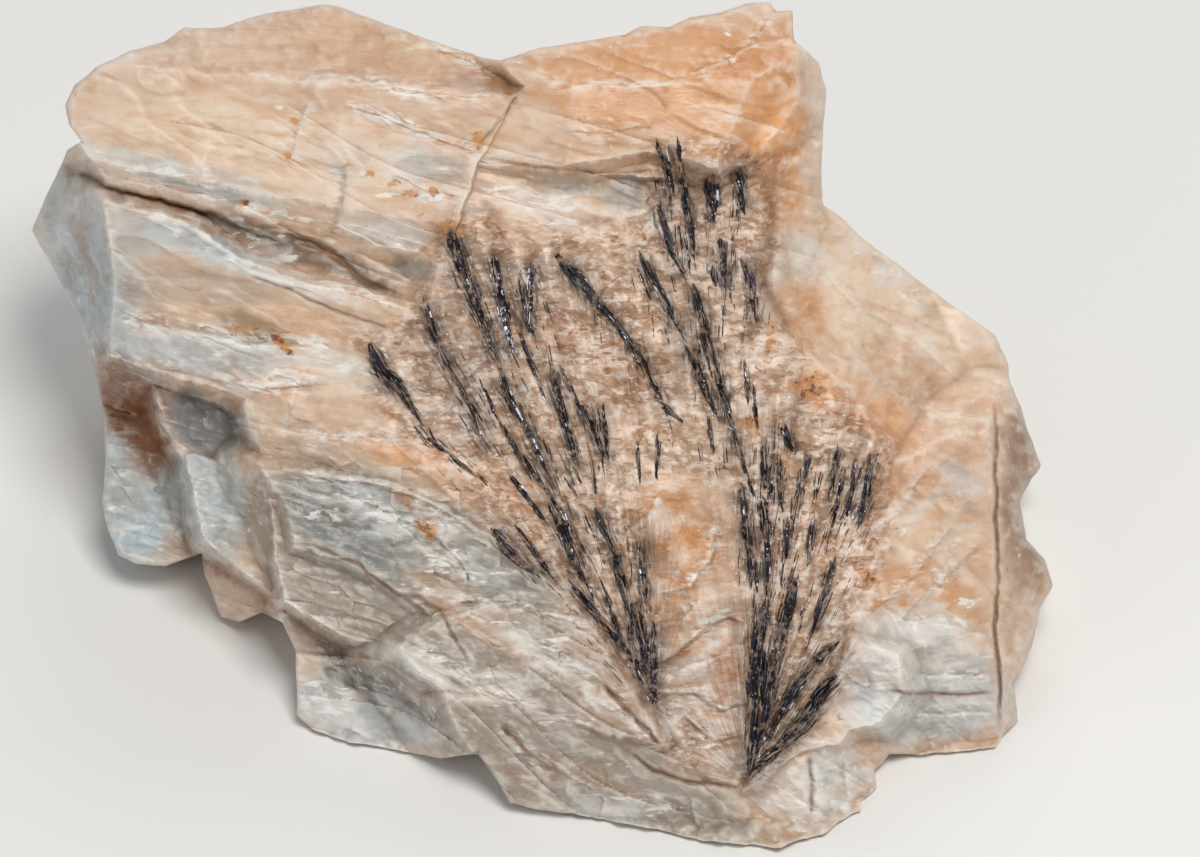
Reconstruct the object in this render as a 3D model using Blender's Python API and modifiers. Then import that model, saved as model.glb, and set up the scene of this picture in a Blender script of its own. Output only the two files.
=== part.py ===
"""Kobeite specimen: black needle crystals of kobeite fanned over one broken face of a feldspar rock.

The rock is one solid, broken along its cleavage into slabs that stand proud of one another, with a
flat broken base.  The crystals are six-sided rods that lie half sunk in the rock's front face, in two
fans, the ones that grew together at the foot of a fan as one solid.

The face is drawn in its own frame, in millimetres: u runs to the right, v runs up the face and d runs
back into the rock.  The face leans back by FACE_LEAN, and the rock widens a little with depth.
"""

import math

import bmesh
import bpy
from mathutils import Matrix, Vector
from mathutils.bvhtree import BVHTree

# ---------------------------------------------------------------- driving dimensions
MM = 0.001                           # the tables below are in millimetres
SPECIMEN = "Kobeite specimen"
FACE_LEAN = math.radians(40.0)       # the front face leans back from upright
FACE_HEIGHT = 17.5 * MM              # height of the face's own origin above the base
SPREAD = 1.0 / 300.0                 # the rock widens by this share for each millimetre of depth
SLAB_FRONT = 8.0                     # slabs are first drawn out to here in front of the face
SLAB_BACK = 48.0                     # and back to here, then trimmed
GRAIN_SIZE = 0.42 * MM               # finest lump of the broken rock surface
ROCK_TRIANGLES = 5200                # what the broken surface is thinned to
WAVE_HEIGHT = 0.55 * MM              # long swells along the layering
CHIP_HEIGHT = 0.45 * MM              # chipped facets
BASE_BLOCK = 80.0 * MM               # side of the block that the base is cut flat with
SEAT_GAP = 0.09 * MM                 # play between a crystal and its seat in the rock
CRYSTAL_RISE = 0.10                  # a crystal's middle stands this share of its width off the rock
CRYSTAL_STEP = 1.6                   # longest straight run of a bent crystal, mm
TIP_SHARE = 0.55                     # width of a crystal's far end, as a share of its full width

# ---------------------------------------------------------------- the face, in millimetres (u, v)
OUTLINE = [
    (-26.75, 16.25), (-26.25, 17.25), (-25.2, 18.1), (-23.5, 19.0), (-21.75, 19.4), (-20.75, 20.1),
    (-18.75, 20.1), (-17.5, 20.65), (-14.0, 21.25), (-13.0, 21.15), (-9.5, 19.85), (-6.0, 18.65),
    (-5.0, 18.5), (-2.75, 19.15), (1.25, 19.75), (2.0, 20.15), (3.5, 20.15), (4.5, 20.65), (6.0, 20.9),
    (7.25, 21.3), (8.5, 21.4), (8.8, 20.95), (9.65, 21.0), (9.7, 19.5), (11.0, 18.4), (11.3, 17.0),
    (11.05, 13.3), (11.1, 11.25), (12.25, 10.5), (12.9, 9.75), (14.75, 8.4), (16.75, 6.85),
    (19.75, 4.75), (20.25, 3.75), (20.5, 2.5), (21.6, -0.5), (22.0, -1.75), (21.0, -3.5),
    (21.35, -5.5), (22.3, -6.5), (22.6, -7.75), (22.0, -8.9), (21.6, -10.75), (20.7, -12.6),
    (20.85, -14.5), (20.1, -15.3), (19.8, -15.85), (16.0, -16.25), (14.4, -16.15), (13.75, -17.0),
    (13.85, -17.9), (13.1, -18.4), (13.0, -19.0), (11.25, -20.1), (9.0, -20.85), (5.0, -20.5),
    (2.0, -19.8), (-2.0, -19.1), (-4.5, -18.65), (-5.15, -17.5), (-6.1, -16.25), (-8.0, -16.35),
    (-12.5, -15.6), (-14.4, -14.95), (-15.15, -14.25), (-15.2, -11.0), (-15.85, -9.6), (-16.9, -9.1),
    (-18.0, -9.6), (-18.9, -9.4), (-19.75, -7.25), (-19.9, -6.15), (-21.75, -6.85), (-23.2, -6.75),
    (-24.1, -6.25), (-24.6, -5.0), (-24.95, -3.5), (-24.75, -2.25), (-24.75, 0.5), (-25.25, 3.0),
    (-26.0, 5.5), (-27.75, 8.75), (-28.4, 10.0), (-27.75, 11.5), (-26.6, 14.0), (-25.9, 14.4),
    (-26.5, 15.25),
]

# Each slab: its outline, and the flat planes of its front as (u, v, depth there, rise of depth with
# u, rise of depth with v).  The deepest of a slab's planes is its surface.
SLABS = {
    "core": (
        [(-32, 25), (26, 25), (26, -24), (-32, -24)],
        [(0, 0, 10.5, 0.0, 0.0), (-18, 0, 15.0, -0.5, 0.0), (19, -5, 11.0, 0.5, 0.0)]),
    "upper_slab": (
        [(-27.2, 16.25), (-25.75, 14.1), (-24.5, 12.35), (-19.25, 10.9), (-15, 9), (-11.5, 7),
         (-8, 6.25), (-7.25, 10), (-6.2, 13.3), (-4, 17), (-3.5, 19.5), (-8, 21), (-14, 22.5),
         (-27, 21.5)],
        [(-8, 8, 3.0, -0.19, 0.10), (-15, 17.5, 5.3, -0.08, 1.5), (-19.5, 12.4, 5.63, -0.35, -0.75)]),
    "groove_floor": (
        [(-25, 13), (-14, 10), (-8, 6.5), (-9, 5.5), (-15, 7), (-22, 9), (-25, 10.5)],
        [(-16, 9, 6.6, -0.2, 0.35)]),
    "second_slab": (
        [(-24.75, 11.5), (-20.5, 10.25), (-18, 8.6), (-15, 7.5), (-8.5, 6.25), (-7, 0.5), (-4, -3.5),
         (-8.5, -3.5), (-11, -2.5), (-15, -2), (-16.9, -1.25), (-17.5, 0), (-17.85, 1.5), (-20, 2.25),
         (-22.5, 3), (-24.4, 3.75), (-24.3, 8)],
        [(-8, 4, 3.5, -0.17, -0.02), (-19.5, 4.9, 5.35, -0.45, -0.35)]),
    "needle_face": (
        [(-8.5, 6.5), (-7.5, 10.25), (-6, 13.5), (2.5, 12.75), (8.5, 13.5), (8.25, 9.5), (9, 5),
         (13, 1.5), (14.5, -2), (14, -6.5), (15.25, -9), (15, -12.5), (12, -15.5), (7.25, -18),
         (3.25, -16.5), (-0.5, -9.5), (-4.5, -5.75), (-7.5, -3), (-10, -1), (-12, 1.5),
         (-12.25, 4.25), (-10, 5.5)],
        [(0, 0, 3.2, 0.03, 0.06), (-6, 2, 3.1, -0.20, 0.0), (9, 0, 3.5, 0.32, 0.10)]),
    "top_block": (
        [(-6.1, 13.25), (-6.25, 14.75), (-3.75, 17.1), (-5, 18.5), (-2.75, 20), (2, 21), (8.5, 22),
         (9.9, 21.5), (9.85, 16.5), (8.75, 15), (7.25, 13.35), (5.75, 13.1), (4.5, 13.5), (2.5, 14),
         (0, 13.5), (-2, 13.25)],
        [(2, 15, 2.4, 0.02, 0.10), (2, 17.4, 2.7, 0.0, 0.75), (7.5, 16.5, 2.85, 0.5, -0.1),
         (-2.5, 15, 2.6, -0.28, 0.12)]),
    "thin_plate": (
        [(-6, 13.5), (-2, 13.7), (2.75, 14.2), (3.25, 12.6), (0, 12.75), (-3, 13)],
        [(0, 13, 3.2, 0.0, 0.0)]),
    "neck": (
        [(7.25, 13.25), (9.5, 16.5), (9.5, 20), (12, 18.5), (12, 12), (10.5, 8.5), (8, 9)],
        [(10.5, 15, 9.0, 0.1, 0.1)]),
    "right_slope": (
        [(8.5, 9.5), (11, 11.5), (13, 9.75), (16.5, 7.25), (20.5, 4.5), (20.5, 1.5), (19.5, -0.5),
         (17, -0.75), (13.5, -2.5), (12.5, 1.5), (9.5, 4), (8.25, 6.5)],
        [(9, 5, 4.5, 0.72, 0.3)]),
    "right_block": (
        [(13.5, -2.5), (17, -0.5), (19.5, 0), (19.9, -4.5), (20, -11), (20.15, -15.25),
         (19.5, -16.2), (14.25, -16.3), (14, -14.5), (15.25, -13), (15.25, -11), (14, -8)],
        [(15, -8, 4.6, 0.35, 0.12), (17, -12, 5.5, 0.2, -0.45)]),
    "right_flank": (
        [(19.75, 0), (20.25, -4.5), (20.15, -10.5), (20.9, -13), (20.9, -14.6), (20, -15.8),
         (19.5, -8)],
        [(20.3, -13, 9.0, 1.2, 0.0)]),
    "right_back_block": (
        [(19, 1.5), (21.5, 1.5), (22.5, -1.5), (21, -3.5), (21.5, -5.5), (22.9, -7), (22.5, -9),
         (21.75, -11), (20.9, -12.3), (19.5, -12), (19, -3.5)],
        [(21, -5, 14.0, 0.3, 0.0)]),
    "apron": (
        [(12.5, -10.5), (15, -11.25), (15.25, -13), (14.65, -13.9), (14, -14.6), (12.5, -15.15),
         (11.9, -15.75), (10, -16.1), (8, -17.75), (7.25, -18), (9.5, -15.5), (11.5, -13.5)],
        [(12.5, -13.5, 2.4, 0.05, 0.05)]),
    "bottom_lump": (
        [(7.25, -17.75), (10, -16.25), (12.25, -15.6), (13.75, -16.75), (14, -18), (13.1, -18.5),
         (13, -19.1), (11.25, -20.25), (9, -21), (5, -20.75), (4.5, -18.5)],
        [(9, -18, 3.0, 0.10, -0.1), (11.5, -18, 3.6, 0.6, -0.1)]),
    "bottom_band": (
        [(-7.75, -13.5), (-6, -13.5), (-2.75, -13.9), (0.5, -15.15), (3.25, -16.25), (7.25, -17.9),
         (7.25, -21), (2, -20.2), (-4.75, -18.85), (-6.1, -16.5), (-7.25, -15)],
        [(0, -17, 2.4, -0.02, -0.25)]),
    "lower_slab": (
        [(-8, -9.5), (-5, -8.5), (-0.5, -9.5), (3, -15.5), (0.5, -15.2), (-2.75, -13.9),
         (-6, -13.5), (-8, -13), (-10.25, -11)],
        [(-3, -12, 1.8, -0.08, 0.02)]),
    "left_mid_slab": (
        [(-16.75, -2), (-15, -2), (-10.75, -2.4), (-8.5, -3.5), (-4.5, -5.75), (-0.5, -9.5),
         (-5, -8.75), (-8.5, -9.25), (-10.25, -8), (-13, -6.5), (-15.25, -5.75), (-15.75, -3.5)],
        [(-8, -6, 3.3, -0.16, 0.05)]),
    "left_low_slab": (
        [(-16.4, -3.5), (-15.5, -5.5), (-13, -6.4), (-10, -7.75), (-8, -9), (-5.75, -13.25),
         (-7.75, -13.75), (-10.25, -11), (-12.5, -10.5), (-15.75, -8.5), (-16.25, -6.5)],
        [(-11, -9, 4.6, -0.15, 0.05)]),
    "left_foot": (
        [(-15.85, -8.5), (-12.5, -10.5), (-10, -12.5), (-7.5, -14.5), (-7.5, -16.35), (-8, -16.6),
         (-10, -16.2), (-14.4, -15.2), (-15.4, -14.25), (-15.45, -11), (-15.95, -9.75)],
        [(-12, -14, 7.6, -0.1, -0.1)]),
    "recess_upper": (
        [(-22.5, 2.75), (-17.75, 1.5), (-17, -2), (-20.5, -2), (-21.75, 0)],
        [(-19.5, 0.5, 9.5, -0.3, -0.4)]),
    "recess_lower": (
        [(-20.75, -1.25), (-17.5, -1.75), (-16.25, -3), (-16, -8.5), (-18, -7), (-19.75, -5.5)],
        [(-18, -4.5, 9.0, -0.3, 0.1)]),
    "pillar": (
        [(-28.6, 10), (-27, 13.2), (-25.9, 14.3), (-25, 13), (-24.4, 3.5), (-22, 0.5), (-20.9, -2),
         (-20, -6.2), (-23, -7), (-24.9, -5), (-25.2, -3.5), (-25.2, 0.5), (-26.4, 5.5),
         (-27.9, 8.4)],
        [(-25, 3, 16.5, -0.2, 0.15)]),
    "toe": (
        [(-19.9, -6), (-18, -7.1), (-15.75, -8.5), (-15.75, -9.75), (-16.9, -9.2), (-18, -9.8),
         (-19.1, -9.5), (-19.7, -8)],
        [(-18, -8, 15.0, 0.0, 0.0)]),
}

# The back of the rock, as planes in the same form: what lies behind any of them is broken away.
BACK_PLANES = [
    (0, 20.5, 12.8, 0.0, -1.83),
    (0, 15.1, 21.9, 0.06, -1.337),
    (-28, 0, 21.5, 1.0, 0.12),
    (22.5, 0, 19.5, -0.9, 0.1),
]

# Steps broken out of the back along the cleavage: outline, and the planes of the step's floor.
BACK_STEPS = {
    "back_upper_step": (
        [(-3, 26), (14, 26), (14, 9), (2, 11.5), (-5, 16)],
        [(3, 15.1, 19.4, 0.12, -1.4)]),
    "back_left_step": (
        [(-32, 4), (-13, 7.5), (-9, 4), (-12, -12), (-32, -12)],
        [(-22, 0, 25.0, 0.75, -0.25)]),
    "back_right_step": (
        [(8, 6), (26, 3), (26, -12), (14, -12), (9, -3)],
        [(18, 0, 21.2, -0.7, -0.3)]),
}

# ---------------------------------------------------------------- the crystals: width and path, mm
RIGHT_SPRAY_ROOT = [
    (0.90, [(8.3, -8.6), (7.95, -10.5), (7.95, -12.5), (8.05, -14.0), (7.8, -15.6), (7.45, -17.2)]),
    (0.60, [(9.75, -7.0), (9.5, -8.5), (9.0, -10.5), (8.45, -13.4), (8.1, -14.9)]),
    (0.60, [(11.9, -10.6), (10.75, -11.5), (9.9, -12.75), (9.1, -14.0), (8.2, -15.6)]),
    (0.70, [(12.0, -12.25), (11.0, -13.25), (10.25, -14.5), (9.4, -15.5), (8.4, -16.4), (7.5, -17.1)]),
]
LEFT_SPRAY_ROOT = [
    (0.55, [(1.5, -8.5), (1.9, -10.2), (2.3, -11.8), (2.7, -13.2)]),
    (0.45, [(-1.5, -7.6), (0.0, -9.5), (1.1, -10.7), (2.1, -11.9), (2.75, -13.3)]),
    (0.45, [(2.65, -9.6), (2.6, -11.2), (2.75, -13.1)]),
]
RIGHT_SPRAY = [
    (0.55, [(8.1, -3.4), (8.35, -6.0), (8.35, -8.0)]),
    (0.36, [(8.15, -0.7), (8.3, -2.8)]),
    (0.32, [(8.95, -1.6), (9.1, -3.8)]),
    (0.42, [(7.1, -2.8), (7.35, -4.8), (7.55, -7.6)]),
    (0.50, [(9.0, 0.4), (9.6, -1.0)]),
    (0.36, [(11.85, -0.8), (11.5, -3.6)]),
    (0.36, [(10.5, -1.1), (10.05, -3.6)]),
    (0.42, [(13.65, -1.4), (13.4, -3.0), (12.95, -4.4)]),
    (0.36, [(12.75, -1.5), (12.35, -4.2)]),
    (0.42, [(11.75, -6.3), (11.25, -8.25), (10.7, -9.8)]),
    (0.38, [(9.35, -4.4), (9.3, -6.3)]),
    (0.38, [(10.7, -4.2), (10.4, -6.6)]),
]
LEFT_SPRAY = [
    (0.70, [(-11.4, 4.1), (-10.9, 3.0), (-9.9, 1.9), (-8.5, -0.5), (-6.6, -2.0)]),
    (0.42, [(-8.75, 6.5), (-8.4, 5.0), (-7.75, 3.5), (-7.0, 2.25), (-6.25, 0.75), (-5.85, -0.65)]),
    (0.60, [(-7.4, 9.9), (-6.6, 7.25), (-6.0, 5.8), (-5.3, 3.9)]),
    (0.50, [(-5.35, 8.8), (-5.0, 7.0), (-4.4, 4.2)]),
    (0.34, [(-3.4, 8.4), (-3.6, 5.2)]),
    (0.50, [(-2.0, 8.6), (-0.5, 6.75), (1.0, 5.0), (2.25, 3.25), (3.0, 1.75)]),
    (0.40, [(-5.1, 3.1), (-4.5, 1.6), (-3.5, -0.25), (-2.75, -2.0), (-2.1, -3.2)]),
    (0.34, [(-2.35, 3.0), (-2.0, 1.25), (-1.3, -1.4)]),
    (0.34, [(-0.85, 1.2), (-0.35, 0.1), (0.15, -1.1)]),
    (0.40, [(-5.4, -5.0), (-4.7, -5.9), (-3.2, -7.1)]),
    (0.60, [(-2.0, -4.0), (-1.45, -5.9), (-0.5, -8.1)]),
    (0.40, [(-0.2, -4.0), (0.65, -6.0), (1.2, -7.7)]),
    (0.36, [(2.0, -5.4), (2.25, -8.4)]),
]
UPPER_SPRAY = [
    (0.34, [(3.25, 14.2), (3.65, 11.9)]),
    (0.34, [(4.15, 12.8), (4.4, 11.0), (4.7, 9.0)]),
    (0.44, [(5.6, 12.8), (5.7, 10.6)]),
    (0.40, [(2.85, 11.25), (3.25, 10.0), (3.6, 9.0), (4.2, 7.8)]),
    (0.38, [(2.0, 8.85), (2.6, 7.5), (3.4, 6.0), (4.05, 4.85)]),
    (0.40, [(4.75, 7.1), (5.3, 4.75), (5.75, 3.25), (6.2, 1.5), (6.65, 0.0), (7.05, -1.6)]),
    (0.34, [(4.3, 4.2), (5.0, 2.8), (5.85, 0.7)]),
    (0.42, [(7.1, 8.7), (7.6, 7.25), (7.8, 5.7)]),
    (0.42, [(6.9, 13.1), (7.2, 11.0)]),
    (0.44, [(6.05, 9.6), (6.2, 7.4)]),
]

# ---------------------------------------------------------------- colours
FELDSPAR_COLOUR = (0.68, 0.52, 0.39, 1.0)
KOBEITE_COLOUR = (0.020, 0.017, 0.020, 1.0)


def face_to_world():
    """The matrix that stands the face's frame, in metres, in the world."""
    return Matrix.Translation((0.0, 0.0, FACE_HEIGHT)) @ Matrix.Rotation(math.pi / 2 - FACE_LEAN, 4, "X")


def face_point(u, v, depth):
    """A point of the face's frame, in millimetres, spread with its depth and set in the world."""
    spread = 1.0 + SPREAD * depth
    return face_to_world() @ Vector((u * spread * MM, v * spread * MM, -depth * MM))


def clear_scene():
    for obj in list(bpy.data.objects):
        bpy.data.objects.remove(obj)


def new_collection(name, hidden=False):
    collection = bpy.data.collections.new(name)
    bpy.context.scene.collection.children.link(collection)
    collection.hide_render = hidden
    return collection


def new_material(name, colour, roughness, metallic):
    material = bpy.data.materials.new(name)
    material.use_nodes = True
    shader = material.node_tree.nodes["Principled BSDF"]
    shader.inputs["Base Color"].default_value = colour
    shader.inputs["Roughness"].default_value = roughness
    shader.inputs["Metallic"].default_value = metallic
    return material


def add_object(name, data, collection, cutter=False):
    obj = bpy.data.objects.new(name, data)
    collection.objects.link(obj)
    if cutter:
        obj.hide_render = True
        obj.display_type = "WIRE"
    return obj


def baked(obj, name, collection, cutter=False):
    """Swap an object for a mesh of what its modifiers or its bevel make, with its seams welded."""
    graph = bpy.context.evaluated_depsgraph_get()
    mesh = bpy.data.meshes.new_from_object(obj.evaluated_get(graph))
    shape = bmesh.new()
    shape.from_mesh(mesh)
    shape.transform(obj.matrix_world)
    bmesh.ops.remove_doubles(shape, verts=shape.verts, dist=1e-7)
    bmesh.ops.recalc_face_normals(shape, faces=shape.faces)
    shape.to_mesh(mesh)
    shape.free()
    bpy.data.objects.remove(obj)
    return add_object(name, mesh, collection, cutter)


def boolean(obj, operation, other):
    modifier = obj.modifiers.new(f"{operation} {other.name}", "BOOLEAN")
    modifier.operation = operation
    modifier.solver = "EXACT"
    modifier.object = other


def prism(name, corners, front, back, collection):
    """An outline drawn from one depth back to another, in the face's frame in millimetres."""
    curve = bpy.data.curves.new(name, "CURVE")
    curve.dimensions = "2D"
    curve.fill_mode = "BOTH"
    curve.extrude = (back - front) / 2
    spline = curve.splines.new("POLY")
    spline.points.add(len(corners) - 1)
    for point, (u, v) in zip(spline.points, corners):
        point.co = (u, v, 0.0, 1.0)
    spline.use_cyclic_u = True
    flat = add_object(name + " outline", curve, collection)
    flat.location.z = -(front + back) / 2
    bpy.context.view_layer.update()
    return baked(flat, name, collection, cutter=True)


def trim(obj, planes, keep_behind):
    """Cut an object by planes given as (u, v, depth, rise with u, rise with v) and cap each cut."""
    shape = bmesh.new()
    shape.from_mesh(obj.data)
    for u, v, depth, rise_u, rise_v in planes:
        normal = Vector((rise_u, rise_v, 1.0)).normalized()
        cut = bmesh.ops.bisect_plane(
            shape, geom=shape.verts[:] + shape.edges[:] + shape.faces[:], dist=1e-6,
            plane_co=(u, v, -depth), plane_no=normal if keep_behind else -normal, clear_outer=True)
        rim = [item for item in cut["geom_cut"] if isinstance(item, bmesh.types.BMEdge)]
        bmesh.ops.holes_fill(shape, edges=rim, sides=0)
    bmesh.ops.recalc_face_normals(shape, faces=shape.faces)
    shape.to_mesh(obj.data)
    shape.free()


def rough_block(collection):
    """Every slab fused, trimmed to the outline and broken off behind, still in the face's frame."""
    block = None
    for name, (corners, planes) in SLABS.items():
        slab = prism(name, corners, -SLAB_FRONT, SLAB_BACK, collection)
        trim(slab, planes, keep_behind=True)
        if block is None:
            block = slab
        else:
            boolean(block, "UNION", slab)
    boolean(block, "INTERSECT", prism("outline", OUTLINE, -SLAB_FRONT - 1, SLAB_BACK + 1, collection))
    for name, (corners, planes) in BACK_STEPS.items():
        step = prism(name, corners, 0.0, SLAB_BACK + 2, collection)
        trim(step, planes, keep_behind=True)
        boolean(block, "DIFFERENCE", step)
    block = baked(block, "rough block", collection)
    trim(block, BACK_PLANES, keep_behind=False)
    return block


def grain_guide(collection):
    """The empty whose stretched axes run the rock's swells along its layering."""
    guide = add_object("layering", None, collection)
    guide.location = (0.0, 0.0, FACE_HEIGHT)
    guide.rotation_euler = (math.pi / 2 - FACE_LEAN, 0.0, math.radians(-24.0))
    guide.scale = (2.6, 0.8, 1.2)
    return guide


def roughen(obj, name, texture, height, guide=None):
    modifier = obj.modifiers.new(name, "DISPLACE")
    modifier.texture = texture
    modifier.strength = height
    modifier.mid_level = 0.5
    if guide:
        modifier.texture_coords = "OBJECT"
        modifier.texture_coords_object = guide


def broken_rock(name, collection, cutters):
    """The feldspar: the fused slabs with a broken, chipped surface and a base broken flat."""
    block = rough_block(cutters)
    lumps = block.modifiers.new("finest lumps", "REMESH")
    lumps.mode = "VOXEL"
    lumps.voxel_size = GRAIN_SIZE / MM
    rock = baked(block, "unthinned rock", cutters)
    for vertex in rock.data.vertices:
        u, v, rise = vertex.co
        vertex.co = face_point(u, v, -rise)

    swells = bpy.data.textures.new("swells", "CLOUDS")
    swells.noise_scale = 3.2 * MM
    swells.noise_depth = 2
    chips = bpy.data.textures.new("chips", "VORONOI")
    chips.noise_scale = 2.6 * MM
    chips.distance_metric = "MANHATTAN"
    chips.noise_intensity = 0.9
    roughen(rock, "swells along the layering", swells, WAVE_HEIGHT, grain_guide(cutters))
    roughen(rock, "chips", chips, CHIP_HEIGHT)
    thin = rock.modifiers.new("thinned", "DECIMATE")
    thin.ratio = ROCK_TRIANGLES / sum(len(face.vertices) - 2 for face in rock.data.polygons)

    below = bmesh.new()
    bmesh.ops.create_cube(below, size=BASE_BLOCK)
    bmesh.ops.translate(below, verts=below.verts, vec=(0.0, 0.0, -BASE_BLOCK / 2))
    mesh = bpy.data.meshes.new("base cut")
    below.to_mesh(mesh)
    below.free()
    boolean(rock, "DIFFERENCE", add_object("base cut", mesh, cutters, cutter=True))
    return baked(rock, name, collection)


def surface_finder(rock):
    """A function from (u, v) to the depth of the rock's surface there, in millimetres."""
    graph = bpy.context.evaluated_depsgraph_get()
    tree = BVHTree.FromObject(rock, graph)

    def depth_at(u, v):
        start = face_point(u, v, -SLAB_FRONT)
        along = face_point(u, v, SLAB_BACK) - start
        hit = tree.ray_cast(start, along)[0]
        return (hit - start).length / along.length * (SLAB_FRONT + SLAB_BACK) - SLAB_FRONT

    return depth_at


def evenly(path, step):
    """The path with extra points, so that no run between two of them is longer than the step."""
    points = [Vector(path[0])]
    for corner in path[1:]:
        start = points[-1].copy()
        runs = max(1, math.ceil((Vector(corner) - start).length / step))
        points += [start.lerp(Vector(corner), run / runs) for run in range(1, runs + 1)]
    return points


def rod(name, width, path, depth_at, extra, collection, cutter=False):
    """A six-sided crystal that lies on the rock along a path, narrowing to its far end."""
    points = evenly(path, CRYSTAL_STEP)
    depths = [depth_at(u, v) - CRYSTAL_RISE * width for u, v in points]
    curve = bpy.data.curves.new(name, "CURVE")
    curve.dimensions = "3D"
    curve.bevel_depth = width / 2 * MM
    curve.bevel_resolution = 1
    curve.use_fill_caps = True
    spline = curve.splines.new("POLY")
    spline.points.add(len(points) - 1)
    for index, (point, (u, v), depth) in enumerate(zip(spline.points, points, depths)):
        point.co = (*face_point(u, v, depth), 1.0)
        point.radius = 1.0 - (1.0 - TIP_SHARE) * (1.0 - index / (len(points) - 1)) + extra / (width / 2 * MM)
    if extra:
        first, last = spline.points[0], spline.points[-1]
        before = (first.co - spline.points[1].co).normalized()
        after = (last.co - spline.points[-2].co).normalized()
        first.co += before * extra
        last.co += after * extra
    tube = add_object(name + " line", curve, collection)
    bpy.context.view_layer.update()
    return baked(tube, name, collection, cutter)


def crystal(name, rods, depth_at, material, collection, cutters):
    """One solid of kobeite, of one rod or of several grown together; gives back its seats."""
    solids = [rod(name if index == 0 else f"{name} part {index}", width, path, depth_at, 0.0,
                  collection if index == 0 else cutters, cutter=index > 0)
              for index, (width, path) in enumerate(rods)]
    for other in solids[1:]:
        boolean(solids[0], "UNION", other)
    solids[0].data.materials.append(material)
    return [rod(f"{name} seat {index}", width, path, depth_at, SEAT_GAP, cutters, cutter=True)
            for index, (width, path) in enumerate(rods)]


def main():
    clear_scene()
    specimen = new_collection(SPECIMEN)
    cutters = new_collection("Cutters", hidden=True)
    feldspar = new_material("Feldspar", FELDSPAR_COLOUR, 0.45, 0.0)
    kobeite = new_material("Kobeite", KOBEITE_COLOUR, 0.25, 0.3)

    rock = broken_rock("feldspar_matrix", specimen, cutters)
    rock.data.materials.append(feldspar)
    depth_at = surface_finder(rock)

    groups = {"right_spray_root": RIGHT_SPRAY_ROOT, "left_spray_root": LEFT_SPRAY_ROOT}
    for spray, rods in (("right", RIGHT_SPRAY), ("left", LEFT_SPRAY), ("upper", UPPER_SPRAY)):
        for number, one in enumerate(rods, start=1):
            groups[f"{spray}_spray_crystal_{number:02d}"] = [one]
    seats = []
    for name, rods in groups.items():
        seats += crystal(name, rods, depth_at, kobeite, specimen, cutters)
    for seat in seats:
        boolean(rock, "DIFFERENCE", seat)


if __name__ == "__main__":
    main()
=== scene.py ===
"""Kobeite specimen: the looks of a feldspar rock with two fans of black kobeite needles.

The rock's front face is drawn in its own frame, in millimetres: u runs to the right, v runs up the
face and d runs back into the rock.  The face leans back, and the rock widens a little with depth.
"""

import math

import bpy
import numpy as np
from mathutils import Matrix, Vector

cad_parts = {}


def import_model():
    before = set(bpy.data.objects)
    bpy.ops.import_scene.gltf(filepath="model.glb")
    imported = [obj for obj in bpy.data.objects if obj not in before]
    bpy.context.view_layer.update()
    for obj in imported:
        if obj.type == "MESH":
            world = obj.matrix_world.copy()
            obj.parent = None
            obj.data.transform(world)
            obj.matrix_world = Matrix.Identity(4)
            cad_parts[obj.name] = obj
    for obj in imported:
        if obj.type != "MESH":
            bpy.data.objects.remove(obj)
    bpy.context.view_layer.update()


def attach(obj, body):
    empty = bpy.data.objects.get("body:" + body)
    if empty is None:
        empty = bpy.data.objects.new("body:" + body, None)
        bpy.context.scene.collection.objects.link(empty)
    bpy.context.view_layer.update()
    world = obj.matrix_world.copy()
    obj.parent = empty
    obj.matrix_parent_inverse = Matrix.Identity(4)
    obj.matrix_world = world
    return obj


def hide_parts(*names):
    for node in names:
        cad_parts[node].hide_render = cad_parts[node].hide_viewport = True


bl_info = {
    "name": "Kobeite specimen",
    "version": (1, 0, 0),
    "blender": (4, 5, 0),
    "location": "View3D > Sidebar > Kobeite",
    "description": "Dresses a kobeite specimen: a broken feldspar rock and its fans of black needles",
    "category": "Object",
}

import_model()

# ---------------------------------------------------------------- the face's frame
MM = 0.001                           # the tables below are in millimetres
LEAN = math.radians(40.0)            # the front face leans back from upright
FACE_HEIGHT = 17.5                   # height of the face's own origin above the base
SPREAD = 1.0 / 300.0                 # the rock widens by this share for each millimetre of depth
CENTRE = (-6.0, 5.0)                 # the whole outline can be seen from here
FIRST_CORNER = math.radians(-156)    # where the rim's first corner lies, seen from there
WALL_SLOPE = 5.0                     # how steeply a slab's sides fall away
# The slabs whose sides fall away more gently than that.
GENTLE_WALLS = {
    "needle_face": 0.8, "right_slope": 2.0, "right_block": 1.2, "groove_floor": 2.0, "apron": 2.5,
    "left_mid_slab": 1.8, "lower_slab": 1.8, "bottom_band": 1.8, "top_block": 1.6, "second_slab": 3.0,
}
DEEPEST = 14.0                       # a slab's sides are followed this far down, and hollows are no deeper
NOWHERE = 99.0                       # deeper than any of the rock
THINNEST = 0.8                       # the rock is nowhere thinner than this
FRONT_REACH = 2.5                    # the front's finish ends this far down the sides
SIDE_FULL = 5.5                      # and from here down the sides' own colour is full
DIP = math.radians(18.0)             # the feldspar's layers dip to the right by this
LINE_BEND = (0.16, 1.1, (109, 113))  # the noise that bends ledges and cracks: push, size and seeds
RIM_SAMPLES = 24000                  # points round the outline before they are spaced out
STATIONS = 6                         # rings along each needle
SHEAF_SEED = 500                     # the first crystal's; the next ones follow
TRAIL_SEED = 877
STRAY_SEED = 881
ALONG_U = np.array([1.0, 0.0, 0.0])
ALONG_V = np.array([0.0, math.sin(LEAN), math.cos(LEAN)])
OUTWARD = np.array([0.0, -math.cos(LEAN), math.sin(LEAN)])
ORIGIN = np.array([0.0, 0.0, FACE_HEIGHT])

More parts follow.
